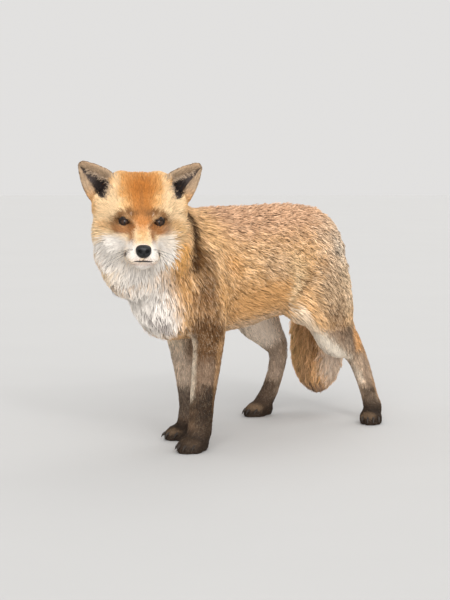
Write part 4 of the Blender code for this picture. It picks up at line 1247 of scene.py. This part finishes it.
def lid_finish():
    """The lids' own dark colours, finely creased."""
    finish = Finish("fox_eyelid", Roughness=0.55, Specular_IOR_Level=0.15)
    crease = finish.noise(1200, 4)
    finish.feed(Base_Color=finish.scaled(finish.parts("coat_colour")[4], crease * 0.5 + 0.7))
    finish.bump(crease, 0.5, 0.0003)
    return finish.material


def nose_finish():
    """Nose leather: small polygonal pebbles with dark furrows, moist."""
    finish = Finish("fox_nose_leather", Roughness=0.42, Specular_IOR_Level=0.28, Coat_Weight=0.25,
                    Coat_Roughness=0.2)
    pebble = finish.add("ShaderNodeTexVoronoi", {"feature": "DISTANCE_TO_EDGE"},
                        {"Vector": finish.place(), "Scale": 850}, out="Distance")
    raised = finish.slope(pebble, 0.0, 0.28)
    finish.feed(Base_Color=finish.blend(raised, (0.002, 0.002, 0.002), (0.018, 0.016, 0.017)))
    finish.bump(raised, 0.6, 0.0004)
    return finish.material


def mottled(name, grain, low, high, relief=None, **constants):
    """A finish whose colour runs from low to high with a noise of this scale and detail. `relief` is the
    strength and depth, in metres, to which the same noise roughens the surface."""
    finish = Finish(name, **constants)
    noise = finish.noise(*grain)
    finish.feed(Base_Color=finish.blend(noise, low, high))
    if relief:
        finish.bump(noise, *relief)
    return finish.material


COAT_FINISH = coat_finish()
HIDE_FINISH = hide_finish()
EYE_FINISH = eye_finish()
LID_FINISH = lid_finish()
NOSE_FINISH = nose_finish()
LIP_FINISH = mottled("fox_lid_skin", (1400, 4), (0.012, 0.009, 0.008), (0.040, 0.028, 0.022), (0.4, 0.0003),
                     Roughness=0.42, Specular_IOR_Level=0.4)
HORN_FINISH = mottled("fox_claw_horn", (700, 4), (0.016, 0.012, 0.010), (0.055, 0.041, 0.031), (0.3, 0.0003),
                      Roughness=0.5, Specular_IOR_Level=0.25)
WHISKER_FINISH = mottled("fox_whisker", (300, 2), (0.018, 0.013, 0.010), (0.07, 0.05, 0.04), Roughness=0.35)
FLOOR_FINISH = mottled("studio_floor", (3, 3), (0.508, 0.506, 0.501), (0.528, 0.526, 0.520),
                       Roughness=0.85, Specular_IOR_Level=0.2)

# ------------------------------------------------------------------ skin and coat in the scene


def skin_piece():
    """The skin, which stands in for all the flesh."""
    mesh = SKIN["mesh"]
    mesh.name = "fox_skin"
    paint(mesh, "coat_colour", SKIN["colour"])
    mesh.polygons.foreach_set("use_smooth", np.ones(len(mesh.polygons), dtype=bool))
    mesh.materials.clear()
    mesh.materials.append(HIDE_FINISH)
    piece = show("fox_skin", mesh)
    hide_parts(*FLESH)


skin_piece()
for row in COATS:
    coat(*row)

# ------------------------------------------------------------------ the face, the fringe and the claws

BALL_ROWS = 40
BALL_COLUMNS = 64
LID_COLUMNS = 72
CORNEA_RISE = 0.9  # millimetres
CORNEA_EDGE = 38  # degrees from the gaze
EYE_FIELD = 20  # millimetres across the square that the eye's colours are drawn in
SKIN_BALL = BVHTree.FromPolygons(SKIN["places"].tolist(), SKIN["triangles"].tolist())


def globe(rows, columns):
    """Polar and turning angles of a sphere's grid, without its two poles."""
    polar = np.linspace(0, np.pi, rows + 2)[1:-1, None]
    turn = np.linspace(0, 2 * np.pi, columns, endpoint=False)[None, :]
    return np.broadcast_arrays(polar, turn)


def capped(places, rows, columns, start, end):
    """A grid of rings closed by two poles. The rings turn so that faces point outwards."""
    faces = list(lattice(rows, columns))
    last = rows * columns
    ring = np.arange(columns)
    following = (ring + 1) % columns
    faces += [(last, b, a) for a, b in zip(ring, following)]
    base = (rows - 1) * columns
    faces += [(last + 1, base + a, base + b) for a, b in zip(ring, following)]
    return np.vstack([places.reshape(-1, 3), start, end]), faces


def outward(piece):
    """Faces recalculated to point out of a closed piece."""
    work = bmesh.new()
    work.from_mesh(piece.data)
    bmesh.ops.recalc_face_normals(work, faces=work.faces[:])
    work.to_mesh(piece.data)
    work.free()
    return piece


def eyeball(eye):
    """A sphere around the gaze, whose cornea stands out by its rise x cos^2 up to its edge."""
    polar, turn = globe(BALL_ROWS, BALL_COLUMNS)
    swell = np.clip(np.cos(polar * 90 / CORNEA_EDGE), 0, 1) ** 2 * (polar < np.radians(CORNEA_EDGE))
    bulge = EYE_RADIUS + CORNEA_RISE * swell
    local = np.stack([bulge * np.sin(polar) * np.cos(turn), bulge * np.cos(polar),
                      bulge * np.sin(polar) * np.sin(turn)], axis=-1)
    places = eye.at(local[..., 0], local[..., 1], local[..., 2])
    poles = eye.at(np.zeros(2), np.array([EYE_RADIUS + CORNEA_RISE, -EYE_RADIUS]), np.zeros(2))
    spots, faces = capped(places, BALL_ROWS, BALL_COLUMNS, poles[0], poles[1])
    piece = outward(put(f"eyeball_{eye.side}", spots, faces))
    seen = eye.seen(spots)
    reach = np.arccos(np.clip(unit(seen)[:, 1], -1, 1)) / np.pi * 2
    across, up = seen[:, 0] / EYE_FIELD + 0.5, seen[:, 2] / EYE_FIELD + 0.5
    paint(piece.data, "ball", np.stack([across, up, reach], axis=1))
    piece.data.materials.append(EYE_FINISH)
    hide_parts(f"eye_{eye.side}")


def skin_height(eye, out, up):
    """How far along the gaze the skin lies at (out, up)."""
    heights = []
    for start in eye.at(out, np.full_like(out, 40.0), up).tolist():
        hit = SKIN_BALL.ray_cast(start, (-eye.gaze).tolist(), 0.09)
        heights.append(eye.seen(np.array(hit[0]))[1] if hit[0] is not None else np.nan)
    heights = np.array(heights)
    return np.where(np.isnan(heights), np.nanmedian(heights), heights)


# A lid's section: how far it is from the opening's edge (mm), how much it follows the skin's surface and not
# the ball's, and how far it stands over that blend (mm).
LID_REACH = 6.2
LID_SECTION = (
    (0.0, 0.0, -0.7), (-0.1, 0.0, 0.25), (0.3, 0.0, 0.85), (0.9, 0.05, 1.25), (1.8, 0.35, 1.3),
    (3.0, 0.85, 0.9), (4.6, 1.0, 0.2), (LID_REACH, 1.0, -1.0), (LID_REACH, 1.0, -2.6), (2.4, 0.3, -2.0),
)


def lids(eye):
    """Both lids as one closed ring: a section carried around the almond (a cos t, b sin t)."""
    turn = np.linspace(0, 2 * np.pi, LID_COLUMNS, endpoint=False)
    tall = np.where(np.sin(turn) > 0, OPENING_RISE, OPENING_FALL)
    edge = np.stack([OPENING_LENGTH * np.cos(turn), tall * np.sin(turn)], axis=1)
    normal = unit(np.stack([np.cos(turn) / OPENING_LENGTH, np.sin(turn) / tall], axis=1))
    rows = []
    rim = edge + normal * LID_REACH
    far = skin_height(eye, rim[:, 0], rim[:, 1])
    far = (np.roll(far, 1) + far + np.roll(far, -1)) / 3
    for away, share, stand in LID_SECTION:
        flat = edge + normal * away
        inside = np.sqrt(np.maximum((EYE_RADIUS + 0.35) ** 2 - (flat ** 2).sum(1), 4.0))
        rows.append(eye.at(flat[:, 0], mixed(inside, far, share) + stand, flat[:, 1]))
    places = np.stack(rows).reshape(-1, 3)
    faces = list(lattice(len(LID_SECTION), LID_COLUMNS, closed=True))
    piece = outward(put(f"eyelids_{eye.side}", places, faces))
    away = np.repeat([row[0] for row in LID_SECTION], LID_COLUMNS)
    near = SKIN["colour"][nearest(SKIN_TREE, places)] * 0.7
    paint(piece.data, "coat_colour", mixed(LID_BLACK, near, ease(2.0, 4.2, away)[:, None]))
    piece.data.materials.append(LID_FINISH)


NOSE_ROWS = 54
NOSE_COLUMNS = 80
# How deep the nostrils, their outer slits and the groove below go, as shares of the nose's half depth.
NOSTRIL_DEPTH = 0.72
SLIT_DEPTH = 0.30
GROOVE_DEPTH = 0.18


def dent(across, up=0):
    """1 in the middle of a dent, falling away as a bell curve."""
    return np.exp(-(across ** 2 + up ** 2))


def nose():
    """A ball scaled by (|x|^2.4 + |y|^2 + |z|^2.4)^(-1/2.2), wider above, with two comma nostrils and a
    groove below."""
    polar, turn = globe(NOSE_ROWS, NOSE_COLUMNS)
    x, y, z = np.sin(polar) * np.cos(turn), np.cos(polar), np.sin(polar) * np.sin(turn)
    scale = (np.abs(x) ** 2.4 + np.abs(y) ** 2 + np.abs(z) ** 2.4) ** (-1 / 2.2)
    x, y, z = x * scale, y * scale, z * scale
    x = x * (1 + 0.16 * z)
    front = ease(-0.1, 0.5, y)
    hole = dent((np.abs(x) - 0.47 - 0.10 * z) / 0.22, (z - 0.02) / 0.28)
    slit = dent((np.abs(x) - 0.78) / 0.22, (z + 0.28) / 0.10)
    groove = dent(x / 0.075) * ease(0.25, -0.25, z)
    y = y - front * (NOSTRIL_DEPTH * hole + SLIT_DEPTH * slit + GROOVE_DEPTH * groove)
    middle = np.array(NOSE_MIDDLE)
    local = (np.stack([x, y, z], axis=-1) * NOSE_SIZE).reshape(-1, 3) + middle
    ends = on_head(np.array([[0, NOSE_SIZE[1], 0], [0, -NOSE_SIZE[1], 0]]) + middle)
    spots, faces = capped(on_head(local), NOSE_ROWS, NOSE_COLUMNS, *ends)
    piece = outward(put("nose_leather", spots, faces))
    piece.data.materials.append(NOSE_FINISH)
    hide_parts("nose")


def tube(name, path, radii, corners, finish):
    """A closed tube: a ring of corners carried along a path, with its radii."""
    onward = unit(np.gradient(path, axis=0))
    side = unit(np.cross(onward, FORWARD + UPWARD * 0.3))
    over = np.cross(onward, side)
    turn = np.linspace(0, 2 * np.pi, corners, endpoint=False)[None, :, None]
    ring = side[:, None, :] * np.cos(turn) + over[:, None, :] * np.sin(turn)
    places = path[:, None, :] + ring * np.asarray(radii)[:, None, None]
    spots, faces = capped(places, len(path), corners, path[0], path[-1])
    piece = outward(put(name, spots, faces))
    piece.data.materials.append(finish)


def curve_through(points, count):
    """A Catmull-Rom curve through the points, at this many places."""
    points = np.asarray(points, dtype=float)
    padded = np.vstack([2 * points[0] - points[1], points, 2 * points[-1] - points[-2]])
    share = np.linspace(0, len(points) - 1 - 1e-9, count)
    index = share.astype(int)
    t = (share - index)[:, None]
    a, b, c, d = (padded[index + k] for k in range(4))
    square, cube = 2 * a - 5 * b + 4 * c - d, 3 * b - a - 3 * c + d
    return 0.5 * (2 * b + (c - a) * t + square * t ** 2 + cube * t ** 3)


def on_skin(path, over):
    """Each place of a path moved to the skin, and `over` millimetres out of it."""
    hits = [SKIN_BALL.find_nearest(place) for place in path.tolist()]
    return np.array([np.array(hit[0]) + np.array(hit[1]) * over * MM for hit in hits])


MOUTH = ((-14.5, 62, -48.5), (-9, 66.5, -49.6), (-4, 68.5, -49.8), (0, 69, -49.5), (4, 68.5, -49.8),
         (9, 66.5, -49.6), (14.5, 62, -48.5))
LIP = ((14, 62, -48.5), (20, 54, -50.5), (25, 45, -48.5), (28.5, 38, -45.5), (30, 33, -44))
CLEFT = ((0, 72, -43), (0, 71.5, -46), (0, 70, -49.5))
MOUTH_RINGS = 50
LIP_RINGS = 30
CLEFT_RINGS = 14


def mouth():
    """A dark line below the nose, thick in its middle, a finer one along each lip, and the cleft above."""
    path = on_skin(on_head(curve_through(MOUTH, MOUTH_RINGS)), 0.7)
    radii = 1.7 * MM * np.sin(np.linspace(0.10, np.pi - 0.10, MOUTH_RINGS)) ** 0.5
    tube("mouth_line", path, radii, 10, LIP_FINISH)
    for side, sign in SIDES.items():
        points = [(sign * left, forward, up) for left, forward, up in LIP]
        path = on_skin(on_head(curve_through(points, LIP_RINGS)), 0.9)
        radii = MM * np.interp(np.linspace(0, 1, LIP_RINGS), (0, 0.5, 0.85, 1), (0.5, 0.5, 1.5, 0.6))
        tube(f"lip_{side}", path, radii, 8, LIP_FINISH)
    path = on_skin(on_head(curve_through(CLEFT, CLEFT_RINGS)), 0.6)
    tube("lip_cleft", path, np.full(CLEFT_RINGS, 0.6 * MM), 8, LIP_FINISH)


WHISKER_RINGS = 14
# Each whisker of the left side: how far forward and up it starts, and its length, in millimetres.
WHISKER_ROWS = (
    (58, -33, 42), (52, -34, 52), (46, -35, 58), (56, -38, 46), (50, -39, 56), (44, -40, 60), (53, -43, 44),
    (47, -44, 50),
)


def whiskers():
    """Fine tapering hairs from both sides of the muzzle, bowed backwards and down."""
    number = 0
    for side in SIDES.values():
        for row, (forward, up, long) in enumerate(WHISKER_ROWS):
            number += 1
            start = on_skin(on_head([(side * 17, forward, up)]), -0.5)[0]
            out = LEFTWARD * side * 0.80 + FORWARD * (0.10 + 0.05 * (row % 3)) + UPWARD * (-0.10 - 0.05 * row)
            share = np.linspace(0, 1, WHISKER_RINGS)[:, None]
            path = start + (unit(out) * share - (FORWARD * 0.35 + UPWARD * 0.22) * share ** 2) * long * MM
            radii = 0.15 * MM * (1 - share[:, 0]) ** 0.7 + 0.02 * MM
            tube(f"whisker_{number}", path, radii, 5, WHISKER_FINISH)


# The rims of the left ear's hollow that carry long hairs: from, to and the way they point, as (left, up).
FRINGE_EDGES = (((52, 56), (86, 71), (0.75, -0.45)), ((48, 50), (55, 28), (0.85, 0.35)))
FRINGE_HAIRS = 170
FRINGE_STATIONS = 3


def fringe():
    """Long buff hairs that stand on both ears' inner rims and cross the hollows."""
    starts, ways = [], []
    for side in SIDES.values():
        for (start, end, way), count in zip(FRINGE_EDGES, (FRINGE_HAIRS, FRINGE_HAIRS // 2)):
            share = chance.random(count)[:, None]
            flat = mixed(start, end, share) + chance.normal(0, 2.0, (count, 2))
            for left, up in flat.tolist():
                ahead = on_head((side * left, 30, up))
                hit = SKIN_BALL.ray_cast(ahead.tolist(), (-FORWARD).tolist(), 0.2)
                if hit[0] is not None:
                    starts.append(np.array(hit[0]))
                    ways.append((side * way[0], 0.0, way[1]))
    count = len(starts)
    root = np.array(starts) - FORWARD * 0.5 * MM
    way = np.array(ways) @ HEAD_TURN.T + chance.normal(0, 0.34, (count, 3)) + FORWARD * 0.25
    way = unit(way)
    length = chance.uniform(3, 8.5, count)[:, None, None] * MM
    steps = np.linspace(0, 1, FRINGE_STATIONS + 1)
    bow = FORWARD * (1.2 * MM) * np.sin(np.pi * steps)[None, :, None]
    spine = root[:, None, :] + way[:, None, :] * length * steps[None, :, None] + bow
    crest = np.broadcast_to(FORWARD, spine.shape)
    lateral = np.broadcast_to(np.cross(FORWARD, way)[:, None, :], spine.shape)
    width = np.full(count, 0.6 * MM)
    mesh = tuft_mesh("coat_ear_fringe", spine, crest, lateral, width, FRINGE_STATIONS)
    piece = show("coat_ear_fringe", mesh)
    tint = chance.uniform(0.6, 1.25, (count, 1)) * FRINGE_TINT
    dress(piece, root, tint, steps, chance.random(count), np.zeros(count), tuple(UPWARD), FRINGE_STATIONS)


fringe()
for eye in EYES.values():
    eyeball(eye)
    lids(eye)
nose()
mouth()
whiskers()

for node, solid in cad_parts.items():
    if node.startswith("claw"):
        solid.data.materials.clear()
        solid.data.materials.append(HORN_FINISH)

# ------------------------------------------------------------------ floor, light and camera

FLOOR_RADIUS = 14.0
FLOOR_CORNERS = 96
CAMERA_PLACE = (2.1111, -2.3684, 0.522)
CAMERA_TURN = np.radians(42)
CAMERA_DIP = np.arctan(160 / 1800)
LENS = 108
SENSOR = 36
WORLD_COLOUR = (0.80, 0.79, 0.78, 1)
WORLD_STRENGTH = 0.95


def floor():
    """A round floor that rides on nothing."""
    turn = np.linspace(0, 2 * np.pi, FLOOR_CORNERS, endpoint=False)
    ring = np.stack([np.cos(turn), np.sin(turn), np.zeros(FLOOR_CORNERS)], axis=1) * FLOOR_RADIUS
    piece = put("floor", ring, [np.arange(FLOOR_CORNERS)], body=None)
    piece.data.materials.append(FLOOR_FINISH)


def lamp(name, way, strength, angle, colour=(1, 1, 1)):
    """A sun whose light comes from `way`, as soft as its apparent width in degrees."""
    light = bpy.data.lights.new(name, "SUN")
    light.energy = strength
    light.angle = np.radians(angle)
    light.color = colour
    piece = bpy.data.objects.new(name, light)
    bpy.context.scene.collection.objects.link(piece)
    back = unit(np.array(way, dtype=float))
    side = unit(np.cross((0, 0, 1), back))
    rows = np.column_stack([side, np.cross(back, side), back, 3 * back])
    piece.matrix_world = Matrix([*rows.tolist(), (0, 0, 0, 1)])


def camera():
    """A long lens before the fox and to its left, a little above it."""
    lens = bpy.data.cameras.new("camera")
    lens.lens = LENS
    lens.sensor_width = SENSOR
    lens.sensor_fit = "AUTO"
    piece = bpy.data.objects.new("camera", lens)
    piece.location = CAMERA_PLACE
    piece.rotation_euler = (np.pi / 2 - CAMERA_DIP, 0, CAMERA_TURN)
    bpy.context.scene.collection.objects.link(piece)
    bpy.context.scene.camera = piece


floor()
lamp("key_light", (0.85, -1.0, 1.0), 1.5, 42, (1.0, 0.985, 0.96))
lamp("fill_light", (1.0, -0.75, 0.18), 2.0, 60, (0.99, 0.99, 1.0))
lamp("rim_light", (-0.4, 1.0, 0.9), 0.8, 50)
lamp("catch_light", (0.80, -0.44, 0.49), 0.30, 5)
camera()

world = bpy.data.worlds.new("studio")
bpy.context.scene.world = world
world.use_nodes = True
world.node_tree.nodes["Background"].inputs["Color"].default_value = WORLD_COLOUR
world.node_tree.nodes["Background"].inputs["Strength"].default_value = WORLD_STRENGTH
bpy.context.scene.view_settings.view_transform = "Standard"
